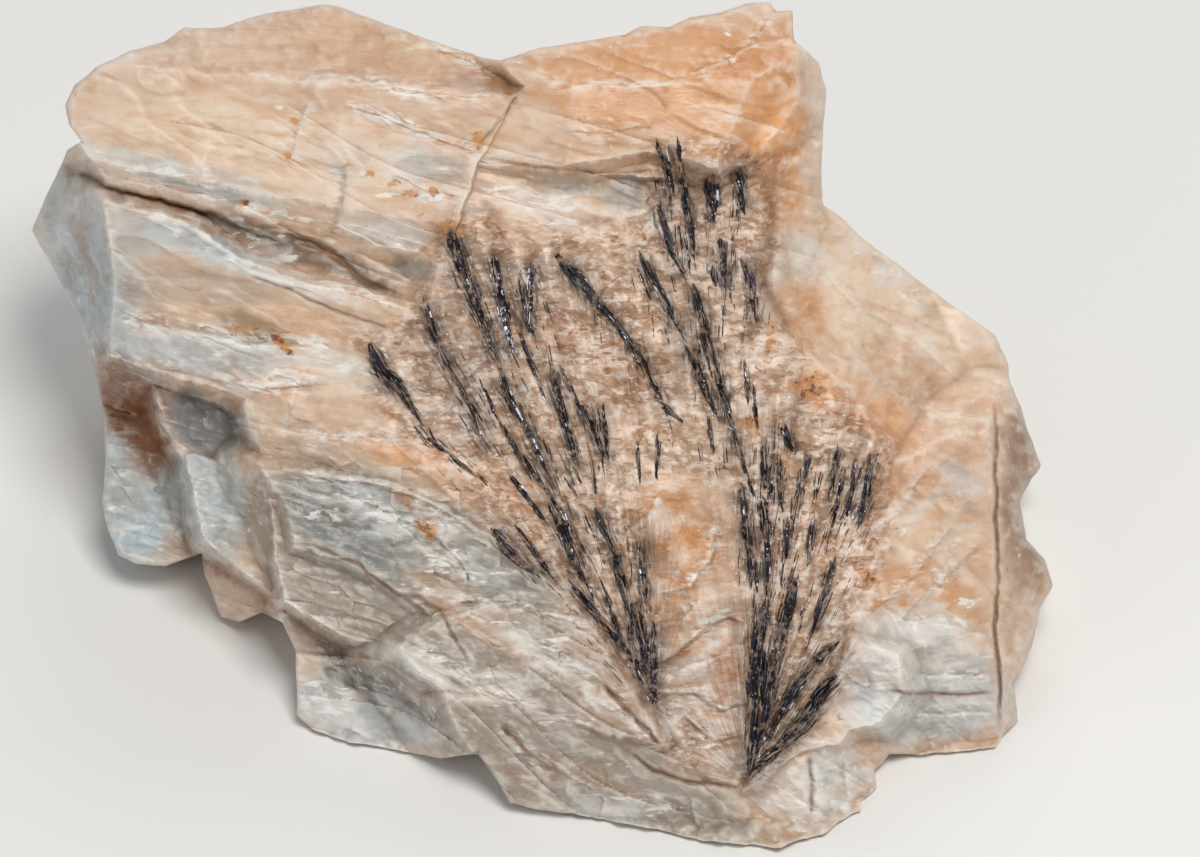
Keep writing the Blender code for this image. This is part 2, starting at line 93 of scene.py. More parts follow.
# ---------------------------------------------------------------- the face, in millimetres (u, v)
OUTLINE = [
    (-26.75, 16.25), (-26.25, 17.25), (-25.2, 18.1), (-23.5, 19.0), (-21.75, 19.4), (-20.75, 20.1),
    (-18.75, 20.1), (-17.5, 20.65), (-14.0, 21.25), (-13.0, 21.15), (-9.5, 19.85), (-6.0, 18.65),
    (-5.0, 18.5), (-2.75, 19.15), (1.25, 19.75), (2.0, 20.15), (3.5, 20.15), (4.5, 20.65), (6.0, 20.9),
    (7.25, 21.3), (8.5, 21.4), (8.8, 20.95), (9.65, 21.0), (9.7, 19.5), (11.0, 18.4), (11.3, 17.0),
    (11.05, 13.3), (11.1, 11.25), (12.25, 10.5), (12.9, 9.75), (14.75, 8.4), (16.75, 6.85),
    (19.75, 4.75), (20.25, 3.75), (20.5, 2.5), (21.6, -0.5), (22.0, -1.75), (21.0, -3.5),
    (21.35, -5.5), (22.3, -6.5), (22.6, -7.75), (22.0, -8.9), (21.6, -10.75), (20.7, -12.6),
    (20.85, -14.5), (20.1, -15.3), (19.8, -15.85), (16.0, -16.25), (14.4, -16.15), (13.75, -17.0),
    (13.85, -17.9), (13.1, -18.4), (13.0, -19.0), (11.25, -20.1), (9.0, -20.85), (5.0, -20.5),
    (2.0, -19.8), (-2.0, -19.1), (-4.5, -18.65), (-5.15, -17.5), (-6.1, -16.25), (-8.0, -16.35),
    (-12.5, -15.6), (-14.4, -14.95), (-15.15, -14.25), (-15.2, -11.0), (-15.85, -9.6), (-16.9, -9.1),
    (-18.0, -9.6), (-18.9, -9.4), (-19.75, -7.25), (-19.9, -6.15), (-21.75, -6.85), (-23.2, -6.75),
    (-24.1, -6.25), (-24.6, -5.0), (-24.95, -3.5), (-24.75, -2.25), (-24.75, 0.5), (-25.25, 3.0),
    (-26.0, 5.5), (-27.75, 8.75), (-28.4, 10.0), (-27.75, 11.5), (-26.6, 14.0), (-25.9, 14.4),
    (-26.5, 15.25),
]

# Each slab: its outline, and the flat planes of its front as (u, v, depth there, rise of depth with
# u, rise of depth with v).  The deepest of a slab's planes is its surface.
SLABS = {
    "core": (
        [(-32, 25), (26, 25), (26, -24), (-32, -24)],
        [(0, 0, 10.5, 0.0, 0.0), (-18, 0, 15.0, -0.5, 0.0), (19, -5, 11.0, 0.5, 0.0)]),
    "upper_slab": (
        [(-27.2, 16.25), (-25.75, 14.1), (-24.5, 12.35), (-19.25, 10.9), (-15, 9), (-11.5, 7),
         (-8, 6.25), (-7.25, 10), (-6.2, 13.3), (-4, 17), (-3.5, 19.5), (-8, 21), (-14, 22.5),
         (-27, 21.5)],
        [(-8, 8, 3.0, -0.19, 0.10), (-15, 17.5, 5.3, -0.08, 1.5), (-19.5, 12.4, 5.63, -0.35, -0.75)]),
    "groove_floor": (
        [(-25, 13), (-14, 10), (-8, 6.5), (-9, 5.5), (-15, 7), (-22, 9), (-25, 10.5)],
        [(-16, 9, 6.6, -0.2, 0.35)]),
    "second_slab": (
        [(-24.75, 11.5), (-20.5, 10.25), (-18, 8.6), (-15, 7.5), (-8.5, 6.25), (-7, 0.5), (-4, -3.5),
         (-8.5, -3.5), (-11, -2.5), (-15, -2), (-16.9, -1.25), (-17.5, 0), (-17.85, 1.5), (-20, 2.25),
         (-22.5, 3), (-24.4, 3.75), (-24.3, 8)],
        [(-8, 4, 3.5, -0.17, -0.02), (-19.5, 4.9, 5.35, -0.45, -0.35)]),
    "needle_face": (
        [(-8.5, 6.5), (-7.5, 10.25), (-6, 13.5), (2.5, 12.75), (8.5, 13.5), (8.25, 9.5), (9, 5),
         (13, 1.5), (14.5, -2), (14, -6.5), (15.25, -9), (15, -12.5), (12, -15.5), (7.25, -18),
         (3.25, -16.5), (-0.5, -9.5), (-4.5, -5.75), (-7.5, -3), (-10, -1), (-12, 1.5),
         (-12.25, 4.25), (-10, 5.5)],
        [(0, 0, 3.2, 0.03, 0.06), (-6, 2, 3.1, -0.20, 0.0), (9, 0, 3.5, 0.32, 0.10)]),
    "top_block": (
        [(-6.1, 13.25), (-6.25, 14.75), (-3.75, 17.1), (-5, 18.5), (-2.75, 20), (2, 21), (8.5, 22),
         (9.9, 21.5), (9.85, 16.5), (8.75, 15), (7.25, 13.35), (5.75, 13.1), (4.5, 13.5), (2.5, 14),
         (0, 13.5), (-2, 13.25)],
        [(2, 15, 2.4, 0.02, 0.10), (2, 17.4, 2.7, 0.0, 0.75), (7.5, 16.5, 2.85, 0.5, -0.1),
         (-2.5, 15, 2.6, -0.28, 0.12)]),
    "thin_plate": (
        [(-6, 13.5), (-2, 13.7), (2.75, 14.2), (3.25, 12.6), (0, 12.75), (-3, 13)],
        [(0, 13, 3.2, 0.0, 0.0)]),
    "neck": (
        [(7.25, 13.25), (9.5, 16.5), (9.5, 20), (12, 18.5), (12, 12), (10.5, 8.5), (8, 9)],
        [(10.5, 15, 9.0, 0.1, 0.1)]),
    "right_slope": (
        [(8.5, 9.5), (11, 11.5), (13, 9.75), (16.5, 7.25), (20.5, 4.5), (20.5, 1.5), (19.5, -0.5),
         (17, -0.75), (13.5, -2.5), (12.5, 1.5), (9.5, 4), (8.25, 6.5)],
        [(9, 5, 4.5, 0.72, 0.3)]),
    "right_block": (
        [(13.5, -2.5), (17, -0.5), (19.5, 0), (19.9, -4.5), (20, -11), (20.15, -15.25),
         (19.5, -16.2), (14.25, -16.3), (14, -14.5), (15.25, -13), (15.25, -11), (14, -8)],
        [(15, -8, 4.6, 0.35, 0.12), (17, -12, 5.5, 0.2, -0.45)]),
    "right_flank": (
        [(19.75, 0), (20.25, -4.5), (20.15, -10.5), (20.9, -13), (20.9, -14.6), (20, -15.8),
         (19.5, -8)],
        [(20.3, -13, 9.0, 1.2, 0.0)]),
    "right_back_block": (
        [(19, 1.5), (21.5, 1.5), (22.5, -1.5), (21, -3.5), (21.5, -5.5), (22.9, -7), (22.5, -9),
         (21.75, -11), (20.9, -12.3), (19.5, -12), (19, -3.5)],
        [(21, -5, 14.0, 0.3, 0.0)]),
    "apron": (
        [(12.5, -10.5), (15, -11.25), (15.25, -13), (14.65, -13.9), (14, -14.6), (12.5, -15.15),
         (11.9, -15.75), (10, -16.1), (8, -17.75), (7.25, -18), (9.5, -15.5), (11.5, -13.5)],
        [(12.5, -13.5, 2.4, 0.05, 0.05)]),
    "bottom_lump": (
        [(7.25, -17.75), (10, -16.25), (12.25, -15.6), (13.75, -16.75), (14, -18), (13.1, -18.5),
         (13, -19.1), (11.25, -20.25), (9, -21), (5, -20.75), (4.5, -18.5)],
        [(9, -18, 3.0, 0.10, -0.1), (11.5, -18, 3.6, 0.6, -0.1)]),
    "bottom_band": (
        [(-7.75, -13.5), (-6, -13.5), (-2.75, -13.9), (0.5, -15.15), (3.25, -16.25), (7.25, -17.9),
         (7.25, -21), (2, -20.2), (-4.75, -18.85), (-6.1, -16.5), (-7.25, -15)],
        [(0, -17, 2.4, -0.02, -0.25)]),
    "lower_slab": (
        [(-8, -9.5), (-5, -8.5), (-0.5, -9.5), (3, -15.5), (0.5, -15.2), (-2.75, -13.9),
         (-6, -13.5), (-8, -13), (-10.25, -11)],
        [(-3, -12, 1.8, -0.08, 0.02)]),
    "left_mid_slab": (
        [(-16.75, -2), (-15, -2), (-10.75, -2.4), (-8.5, -3.5), (-4.5, -5.75), (-0.5, -9.5),
         (-5, -8.75), (-8.5, -9.25), (-10.25, -8), (-13, -6.5), (-15.25, -5.75), (-15.75, -3.5)],
        [(-8, -6, 3.3, -0.16, 0.05)]),
    "left_low_slab": (
        [(-16.4, -3.5), (-15.5, -5.5), (-13, -6.4), (-10, -7.75), (-8, -9), (-5.75, -13.25),
         (-7.75, -13.75), (-10.25, -11), (-12.5, -10.5), (-15.75, -8.5), (-16.25, -6.5)],
        [(-11, -9, 4.6, -0.15, 0.05)]),
    "left_foot": (
        [(-15.85, -8.5), (-12.5, -10.5), (-10, -12.5), (-7.5, -14.5), (-7.5, -16.35), (-8, -16.6),
         (-10, -16.2), (-14.4, -15.2), (-15.4, -14.25), (-15.45, -11), (-15.95, -9.75)],
        [(-12, -14, 7.6, -0.1, -0.1)]),
    "recess_upper": (
        [(-22.5, 2.75), (-17.75, 1.5), (-17, -2), (-20.5, -2), (-21.75, 0)],
        [(-19.5, 0.5, 9.5, -0.3, -0.4)]),
    "recess_lower": (
        [(-20.75, -1.25), (-17.5, -1.75), (-16.25, -3), (-16, -8.5), (-18, -7), (-19.75, -5.5)],
        [(-18, -4.5, 9.0, -0.3, 0.1)]),
    "pillar": (
        [(-28.6, 10), (-27, 13.2), (-25.9, 14.3), (-25, 13), (-24.4, 3.5), (-22, 0.5), (-20.9, -2),
         (-20, -6.2), (-23, -7), (-24.9, -5), (-25.2, -3.5), (-25.2, 0.5), (-26.4, 5.5),
         (-27.9, 8.4)],
        [(-25, 3, 16.5, -0.2, 0.15)]),
    "toe": (
        [(-19.9, -6), (-18, -7.1), (-15.75, -8.5), (-15.75, -9.75), (-16.9, -9.2), (-18, -9.8),
         (-19.1, -9.5), (-19.7, -8)],
        [(-18, -8, 15.0, 0.0, 0.0)]),
}

# The back of the rock, as planes in the same form: what lies behind any of them is broken away.
BACK_PLANES = [
    (0, 20.5, 12.8, 0.0, -1.83),
    (0, 15.1, 21.9, 0.06, -1.337),
    (-28, 0, 21.5, 1.0, 0.12),
    (22.5, 0, 19.5, -0.9, 0.1),
]

# Steps broken out of the back along the cleavage: outline, and the planes of the step's floor.
BACK_STEPS = {
    "back_upper_step": (
        [(-3, 26), (14, 26), (14, 9), (2, 11.5), (-5, 16)],
        [(3, 15.1, 19.4, 0.12, -1.4)]),
    "back_left_step": (
        [(-32, 4), (-13, 7.5), (-9, 4), (-12, -12), (-32, -12)],
        [(-22, 0, 25.0, 0.75, -0.25)]),
    "back_right_step": (
        [(8, 6), (26, 3), (26, -12), (14, -12), (9, -3)],
        [(18, 0, 21.2, -0.7, -0.3)]),
}

# The granular bed that holds the needles, and the feet that the two fans spread from.
NEEDLE_BED = [
    (-8.2, 10.4), (-6, 10.75), (-4, 9.75), (0, 9.75), (2, 10.75), (2.25, 14), (5, 14.5), (8, 14),
    (8.6, 10), (8.75, 6), (11.5, 2.5), (14.25, -0.5), (14.25, -5.5), (13.5, -8.5), (12.5, -12),
    (10, -15.25), (7.75, -17.75), (6.75, -17.75), (4.5, -16.5), (2.5, -14), (-0.5, -10),
    (-3.5, -6.5), (-6, -4.5), (-8, -2), (-11.5, 1.5), (-12.25, 4.5), (-10, 6), (-8.25, 7),
]
# Between the two fans the feldspar is smooth, in broad plates.
SMOOTH_WEDGE = [
    (1.6, -3.2), (3.2, -2.0), (6.6, -2.2), (7.2, -8.5), (7.3, -16.0), (5.2, -15.0), (3.0, -11.0),
    (2.4, -7.0),
]
LEFT_APEX = (2.7, -13.8)
RIGHT_APEX = (7.4, -17.6)

# Smooth swellings: centre, half width, half height, turn in degrees, height; a pit has a height below 0.
LUMPS = [
    (3.6, -4.7, 2.4, 1.7, 15, 0.85),
    (4.1, -6.3, 1.6, 1.2, 40, 0.45),
    (5.2, -8.6, 2.4, 1.5, 25, 0.75),
    (4.4, -12.0, 2.2, 1.0, 20, 0.65),
    (6.0, -14.6, 1.5, 0.8, -10, 0.35),
    (-7.5, -2.0, 4.3, 1.3, -16, 0.45),
    (-3.25, -3.1, 1.8, 0.8, -10, 0.35),
    (15.2, -6.0, 3.2, 4.5, 0, 0.50),
    (16.6, -1.8, 2.2, 1.6, -20, 0.35),
    (0.0, 10.9, 2.6, 1.0, -5, 0.40),
    (12.5, 5.5, 2.4, 1.6, -35, 0.35),
    (15.5, 3.5, 2.0, 1.6, -35, 0.30),
    (-4.9, 17.2, 1.5, 0.7, -12, -0.25),
    (9.6, -17.9, 1.6, 1.3, 0, 0.35),
    (7.25, -17.35, 0.35, 0.25, 0, 0.25),
    (-3.6, 5.2, 0.22, 0.26, 0, 0.15),
]

# Steps along a broken line: path, drop of the surface on its right, and how far the drop lasts.
LEDGES = [
    ([(-12.65, 13.4), (-12.85, 11.75), (-13.4, 9.3)], 0.14, 1.6),
    ([(-14.4, 16.5), (-15.0, 15.1), (-15.5, 13.4)], 0.10, 1.2),
    ([(-12.9, 16.4), (-10, 15.4), (-8, 14.5), (-6.0, 14.0)], 0.16, 1.2),
    ([(-10.5, 12.9), (-8.6, 12.0), (-6.8, 11.7)], 0.11, 0.9),
    ([(-13.6, 10.6), (-11.2, 9.4), (-9.0, 8.9), (-7.6, 8.2)], -0.14, 0.9),
    ([(-24.6, 12.6), (-21.5, 12.1), (-18.0, 11.3), (-15.6, 10.3)], -0.14, 0.9),
    ([(-19.2, 8.8), (-15.5, 7.5), (-12.5, 7.1), (-9.2, 6.1)], -0.28, 1.1),
    ([(-24.4, 5.7), (-21, 5.1), (-17.5, 4.4), (-14.2, 4.3), (-13.2, 3.4)], -0.35, 1.3),
    ([(-22.5, 3.4), (-19.5, 2.6), (-16.9, 2.1), (-13.6, 2.4)], 0.24, 0.9),
    ([(-12.4, 3.2), (-9.9, 2.3), (-7.6, 1.6)], -0.17, 0.7),
    ([(-16.6, 0.2), (-12.9, -0.4), (-9.7, -0.4), (-7.4, -1.2)], -0.17, 0.9),
    ([(-15.2, -2.2), (-11.5, -2.6), (-8.6, -3.6), (-5.8, -5.2)], 0.28, 1.0),
    ([(-13.6, -2.9), (-11.5, -3.6), (-9.5, -4.9), (-8.4, -6.3)], -0.17, 0.7),
    ([(-10.2, -4.2), (-8.3, -5.2), (-7.0, -6.6), (-6.2, -8.0)], 0.17, 0.7),
    ([(-7.6, -8.6), (-4.6, -8.5), (-1.2, -9.6), (0.6, -11.0)], 0.21, 0.9),
    ([(-9.6, -10.6), (-7.6, -11.6), (-6.0, -13.0), (-3.0, -13.9), (0.0, -14.9)], -0.24, 0.9),
    ([(-5.0, -14.7), (-3.7, -16.1), (-2.3, -17.2)], 0.24, 0.8),
    ([(-3.0, -11.0), (-0.5, -12.2), (1.6, -13.6)], 0.15, 0.6),
    ([(0.1, -12.6), (1.9, -14.7), (3.2, -16.0)], -0.24, 0.9),
    ([(13.4, -11.9), (16, -12.2), (19.7, -12.2)], -0.24, 0.7),
    ([(13.4, -14.0), (16, -14.1), (19.9, -14.1)], -0.24, 0.6),
    ([(8.75, 21.1), (8.0, 19.7), (6.4, 18.4), (4.2, 17.6)], 0.18, 1.0),
    ([(9.75, 19.6), (7.4, 19.2), (6.4, 18.5)], 0.11, 0.7),
    ([(-3.0, 17.0), (-0.5, 17.3), (2.6, 17.25), (5.2, 17.9)], -0.11, 0.9),
    ([(-2.0, 15.1), (0.5, 14.9), (2.8, 15.4)], 0.10, 0.8),
    ([(-15.2, 17.9), (-12.5, 17.8), (-10, 16.9), (-5.2, 16.6)], -0.20, 1.2),
    ([(-8.5, 19.3), (-6.2, 18.3), (-4.9, 17.4)], 0.14, 0.9),
    ([(10.5, 8.9), (12.6, 6.4), (15.6, 4.6), (18.4, 2.2)], 0.07, 1.5),
    ([(9.8, 4.6), (12.6, 3.4), (15.6, 1.4), (19.4, 0.4)], -0.08, 1.2),
    ([(13.3, -9.3), (15.4, -7.6), (17.6, -4.6)], 0.16, 0.8),
    ([(14.4, -9.9), (16.9, -7.7), (19.0, -5.6)], 0.16, 0.7),
    ([(13.0, -6.2), (14.8, -4.2), (16.4, -1.6)], 0.12, 0.8),
    ([(13.2, -8.4), (15.2, -9.4), (17.4, -9.6), (19.6, -10.2)], -0.21, 0.8),
    ([(10.5, -16.2), (10.6, -19.3)], -0.24, 0.8),
    ([(12.2, -16.4), (12.4, -18.6)], 0.17, 0.6),
    ([(2.6, -11.8), (3.8, -11.0), (5.6, -9.6), (6.4, -9.2), (7.5, -9.6)], 0.50, 1.0),
    ([(3.6, -12.1), (5.4, -11.4), (7.5, -10.9)], -0.20, 0.6),
    ([(2.9, -13.3), (4.6, -13.0), (6.2, -14.0), (7.5, -13.5)], 0.40, 0.8),
    ([(4.2, -14.2), (5.6, -15.5), (7.2, -15.1)], 0.35, 0.8),
    ([(1.0, -5.3), (2.3, -4.2), (2.9, -3.2)], -0.25, 0.8),
    ([(2.6, -8.2), (4.4, -7.8), (5.5, -6.4), (5.9, -4.6)], 0.35, 0.9),
    ([(2.4, -9.8), (4.0, -9.4), (5.0, -8.2)], -0.20, 0.6),
]

# Open cracks: path, depth and half width.
CRACKS = [
    ([(-12.65, 13.4), (-12.85, 11.75), (-13.4, 9.3)], 0.08, 0.06),
    ([(-6.1, 13.6), (-3, 13.2), (-1, 12.9), (1.4, 12.9), (3.3, 13.2)], 0.10, 0.08),
    ([(-4.0, 16.9), (-4.9, 15.6), (-6.1, 14.2)], 0.08, 0.08),
    ([(-15.3, -5.6), (-14.5, -5.7), (-13.5, -6.1), (-12.2, -6.8), (-11.0, -7.6), (-10.2, -8.2),
      (-9.0, -8.4), (-8.0, -9.1), (-7.4, -10.3), (-6.3, -12.0)], 0.14, 0.10),
    ([(-5.0, -14.7), (-3.7, -16.1), (-2.3, -17.2)], 0.18, 0.12),
    ([(0.1, -12.6), (1.9, -14.7), (3.2, -16.0)], 0.20, 0.12),
    ([(1.2, -15.9), (2.7, -17.1), (4.9, -17.7), (6.9, -17.9), (7.4, -17.5)], 0.22, 0.11),
    ([(19.8, 2.0), (19.75, -2), (19.9, -6), (19.8, -9), (19.9, -12), (20.05, -15.6)], 0.30, 0.10),
    ([(10.55, -16.2), (10.6, -19.3)], 0.12, 0.08),
    ([(14, -13.1), (17, -13.2), (19.8, -13.2)], 0.18, 0.08),
    ([(8.2, 13.6), (8.6, 10.5), (8.3, 7.5), (9.6, 4.4)], 0.32, 0.45),
    ([(-9.4, 6.3), (-11.5, 7.3), (-13.6, 8.9), (-16.0, 10.0)], 0.35, 0.20),
    ([(-18.0, 8.0), (-14.0, 6.3), (-10.0, 4.9)], 0.12, 0.07),
]

# ---------------------------------------------------------------- the rock's colours
TINTS = {
    "tan": (0.61, 0.44, 0.32),
    "pale": (0.73, 0.58, 0.45),
    "sand": (0.58, 0.38, 0.245),
    "amber": (0.62, 0.31, 0.13),
    "burnt": (0.30, 0.115, 0.035),
    "brown": (0.33, 0.215, 0.15),
    "stone": (0.34, 0.305, 0.255),
    "grey": (0.27, 0.285, 0.275),
    "cool": (0.50, 0.535, 0.55),
    "white": (0.68, 0.67, 0.63),
    "olive": (0.29, 0.205, 0.115),
    "frost": (0.38, 0.455, 0.488),
    # slate: painted shade in the upper recess, and a darker grey lower left
    "slate": (0.135, 0.155, 0.165),
    # umber: painted shadow beside the pillar
    "umber": (0.23, 0.085, 0.016),
    # shade: painted shade, used in the groove and in a notch
    "shade": (0.36, 0.21, 0.115),
    # glow: a bright orange, painted as glow on the top block's lower right walls
    "glow": (0.88, 0.45, 0.19),
    # painted_shadow: dark shadow painted under overhangs
    "painted_shadow": (0.11, 0.09, 0.07),
}

# Where each tint lies: tint, centre, half width, half height, turn in degrees, strength. Some zones are
# painted shade, shadow or glow, as marked.
ZONES = [
    ("pale", -17, 14, 12, 3.2, -8, 0.9),
    ("sand", -9, 19.2, 9, 2.4, -10, 0.9),
    ("sand", 3, 17, 9, 5, 5, 0.8),
    ("brown", -6.0, 17.5, 3.0, 0.7, -8, 0.6),
    # Painted shade in the notch at the seam of the top block:
    ("shade", -4.9, 17.3, 1.2, 0.7, -30, 0.9),
    ("amber", 4.0, 17.6, 8.0, 3.2, 5, 0.7),
    ("pale", -3.9, 15.2, 2.4, 1.3, 0, 0.7),
    ("amber", 7.0, 16.2, 4.2, 3.6, 0, 0.6),
    # Painted shadow, orange, beside the neck:
    ("amber", 8.9, 13.0, 1.3, 4.0, 0, 0.9),
    ("amber", 9.2, 15.5, 1.0, 3.4, 0, 1.0),
    # Painted shadow beside the neck:
    ("burnt", 8.6, 12.6, 0.6, 2.2, 0, 0.4),
    ("amber", 9.5, 17.0, 0.9, 3.0, 0, 1.0),
    # Painted light: the top block's lower right walls face away from the light and are painted as a bright
    # glow.
    ("glow", 8.8, 15.0, 2.8, 0.8, 50, 1.0),
    ("glow", 5.6, 13.6, 2.0, 0.5, 0, 0.7),
    # Painted shadow beside the neck, lower down:
    ("burnt", 9.2, 8.4, 0.5, 2.6, 0, 0.35),
    ("pale", 11.0, 17.0, 1.1, 4.0, 0, 0.8),
    ("burnt", 9.6, 16.4, 1.1, 2.6, 0, 0.14),
    ("grey", -8.6, 7.7, 3.0, 0.8, -15, 0.75),
    ("pale", -11.2, 10.0, 3.4, 1.2, -15, 0.8),
    ("cool", -11.0, 9.9, 2.8, 1.1, -15, 0.35),
    ("white", -11.0, 10.1, 2.6, 0.9, -15, 0.35),
    ("grey", -8.6, 13.2, 2.2, 0.9, -15, 0.5),
    ("cool", -20.5, 12.6, 6.0, 0.8, -17, 0.6),
    ("frost", -25.8, 3, 4.0, 11, 0, 1.0),
    ("frost", -23.8, -4.2, 3.4, 3.4, 0, 1.0),
    ("cool", -23.0, -2.6, 1.4, 2.6, 25, 0.4),
    ("cool", -27.2, 10.8, 2.0, 3.2, 10, 0.9),
    ("frost", -19.6, -3.6, 2.6, 3.6, 30, 0.9),
    # Painted shadow between the pillar and the slabs, under the second slab and along the pillar's right
    # side:
    ("umber", -23.3, 1.2, 4.6, 1.6, -59, 1.0),
    ("burnt", -23.4, 1.0, 2.8, 0.9, -59, 0.7),
    ("burnt", -25.6, 8.6, 0.5, 3.0, 8, 0.5),
    ("burnt", -18.2, -7.4, 2.8, 0.7, -38, 0.6),
    # Painted shade in the upper recess, under the second slab's overhang:
    ("slate", -19.8, 0.4, 2.8, 1.8, -30, 0.9),
    ("brown", -16.6, -4.5, 0.7, 4.0, 8, 0.7),
    # Painted shadow in the groove under the upper slab:
    ("shade", -15.7, 9.1, 7.0, 0.85, -19, 0.8),
    ("painted_shadow", -14.4, 8.7, 5.8, 0.8, -21, 0.7),
    ("cool", -22.8, 9.6, 2.0, 1.2, -10, 0.7),
    ("cool", -20.5, 9.3, 5.4, 0.9, -20, 0.9),
    ("white", -15.0, 7.1, 4.0, 0.6, -18, 0.8),
    ("sand", -14, 5.4, 9, 1.7, -6, 0.5),
    ("stone", -20.5, 7.2, 5.0, 1.2, -8, 0.50),
    ("cool", -20.2, 3.9, 5.5, 1.3, -8, 0.85),
    ("pale", -12.8, 2.6, 4.6, 1.6, -8, 0.7),
    ("olive", -17.6, 5.0, 2.3, 0.8, -28, 0.9),
    ("amber", -7.6, -2.0, 4.6, 1.3, -16, 0.9),
    ("amber", -3.25, -3.1, 2.2, 1.0, -10, 0.9),
    ("glow", -8.2, -1.6, 2.6, 0.9, -16, 0.35),
    ("stone", -8.5, -9.0, 13.0, 6.2, -33, 1.0),
    ("stone", 0.0, -17.5, 12.0, 3.4, -14, 1.0),
    ("grey", -12.3, -4.6, 5.0, 2.8, -30, 1.0),
    ("cool", -11.0, -3.8, 3.0, 0.9, -30, 0.35),
    ("slate", -12.8, -5.3, 3.8, 1.5, -32, 0.35),
    ("burnt", -8.8, -4.7, 0.9, 0.5, -30, 0.9),
    ("burnt", -10.0, -3.2, 0.8, 0.35, -30, 0.6),
    ("brown", -5.0, -13.0, 10.0, 5.0, -28, 0.18),
    ("grey", -5.5, -6.2, 4.4, 1.8, -40, 0.6),
    ("olive", -7.0, -7.4, 4.8, 0.8, -34, 0.35),
    ("sand", -6.0, -9.6, 5.5, 1.1, -32, 0.45),
    ("white", -8.6, -12.2, 3.0, 0.7, -38, 1.0),
    ("white", -5.2, -13.0, 2.6, 0.6, 8, 0.8),
    ("brown", -1.0, -17.6, 5.0, 0.9, -12, 0.6),
    ("white", -3.0, -11.2, 3.0, 0.6, -30, 0.5),
    ("cool", -12.0, -14.0, 4.6, 2.2, -15, 0.9),
    # Painted shadow under the lower slab's edge:
    ("brown", -10.2, -12.4, 3.6, 0.7, -28, 0.7),
    ("painted_shadow", -11.4, -12.8, 4.4, 0.75, -30, 0.9),
    ("white", 0.9, -14.1, 2.8, 0.35, -46, 0.9),
    ("brown", 2.2, -13.6, 3.2, 0.7, -46, 0.8),
    ("cool", 3.5, -19.2, 6.0, 0.8, -6, 0.4),
    ("stone", 6.0, -19.0, 4.0, 1.4, -4, 0.7),
    ("brown", 3.2, -15.9, 3.8, 1.0, -35, 0.6),
    ("amber", 3.4, -5.2, 3.2, 3.4, 0, 1.0),
    ("glow", 4.6, -6.2, 1.9, 1.7, 20, 0.35),
    ("burnt", 4.2, -5.6, 3.2, 2.8, 0, 0.18),
    ("sand", 3.0, -8.8, 1.6, 1.6, 0, 0.6),
    ("brown", 3.6, -13.0, 2.6, 0.5, 15, 0.5),
    ("amber", 4.6, -10.5, 3.0, 4.2, 10, 0.35),
    ("white", 5.9, -10.4, 2.4, 0.3, 31, 1.0),
    ("burnt", 6.1, -11.1, 2.2, 0.35, 31, 0.6),
    ("white", 6.4, -16.5, 1.4, 0.5, -10, 1.0),
    ("white", 3.5, -13.7, 1.0, 0.45, -20, 0.9),
    ("brown", 4.6, -14.5, 3.0, 0.45, -20, 0.8),
    ("burnt", 2.5, -8.0, 0.5, 2.6, 5, 0.5),
    ("burnt", 7.3, -4.5, 0.4, 2.4, 0, 0.5),
    ("white", 2.7, -11.1, 0.7, 0.4, 0, 0.8),
    ("amber", 15.0, -3.5, 4.0, 4.5, 0, 0.40),
    ("glow", 12.8, 1.4, 3.4, 1.9, -35, 0.40),
    ("pale", 14.5, 6.0, 8.5, 4.6, -38, 1.0),
    ("sand", 15.2, 2.6, 3.6, 1.6, -35, 0.7),
    ("white", 10.0, 8.4, 1.5, 1.8, -30, 0.6),
    ("amber", 10.2, 5.6, 1.2, 2.6, 10, 0.5),
    ("pale", 16.5, -5.5, 3.2, 2.6, 10, 0.6),
    ("amber", 15.6, -8.2, 3.4, 1.6, 0, 0.65),
    ("sand", 18.5, 1.0, 1.6, 2.4, 0, 0.5),
    # Painted shade on the right flank, which turns away from the light:
    ("brown", 21.5, -2.5, 1.8, 6.5, 0, 1.0),
    ("white", 12.8, -2.6, 0.7, 1.7, 0, 0.7),
    ("white", 16.2, -3.6, 2.8, 0.5, 48, 0.6),
    ("white", 14.6, -4.0, 2.2, 0.4, 48, 0.5),
    ("cool", 16.4, -13.8, 5.0, 2.4, 0, 0.9),
    ("cool", 16.4, -14.6, 4.6, 1.0, 0, 0.6),
    ("white", 14.8, -10.6, 4.2, 1.6, -5, 0.8),
    ("pale", 9.2, -18.2, 3.6, 2.2, 0, 0.8),
    ("white", 11.5, -17.6, 1.4, 2.2, 0, 0.9),
    ("grey", 1.7, 11.6, 1.9, 1.1, 0, 0.95),
    ("white", 2.6, 10.5, 1.0, 0.5, 0, 0.9),
    ("pale", -3.5, 11.7, 5.0, 1.2, 0, 0.9),
]

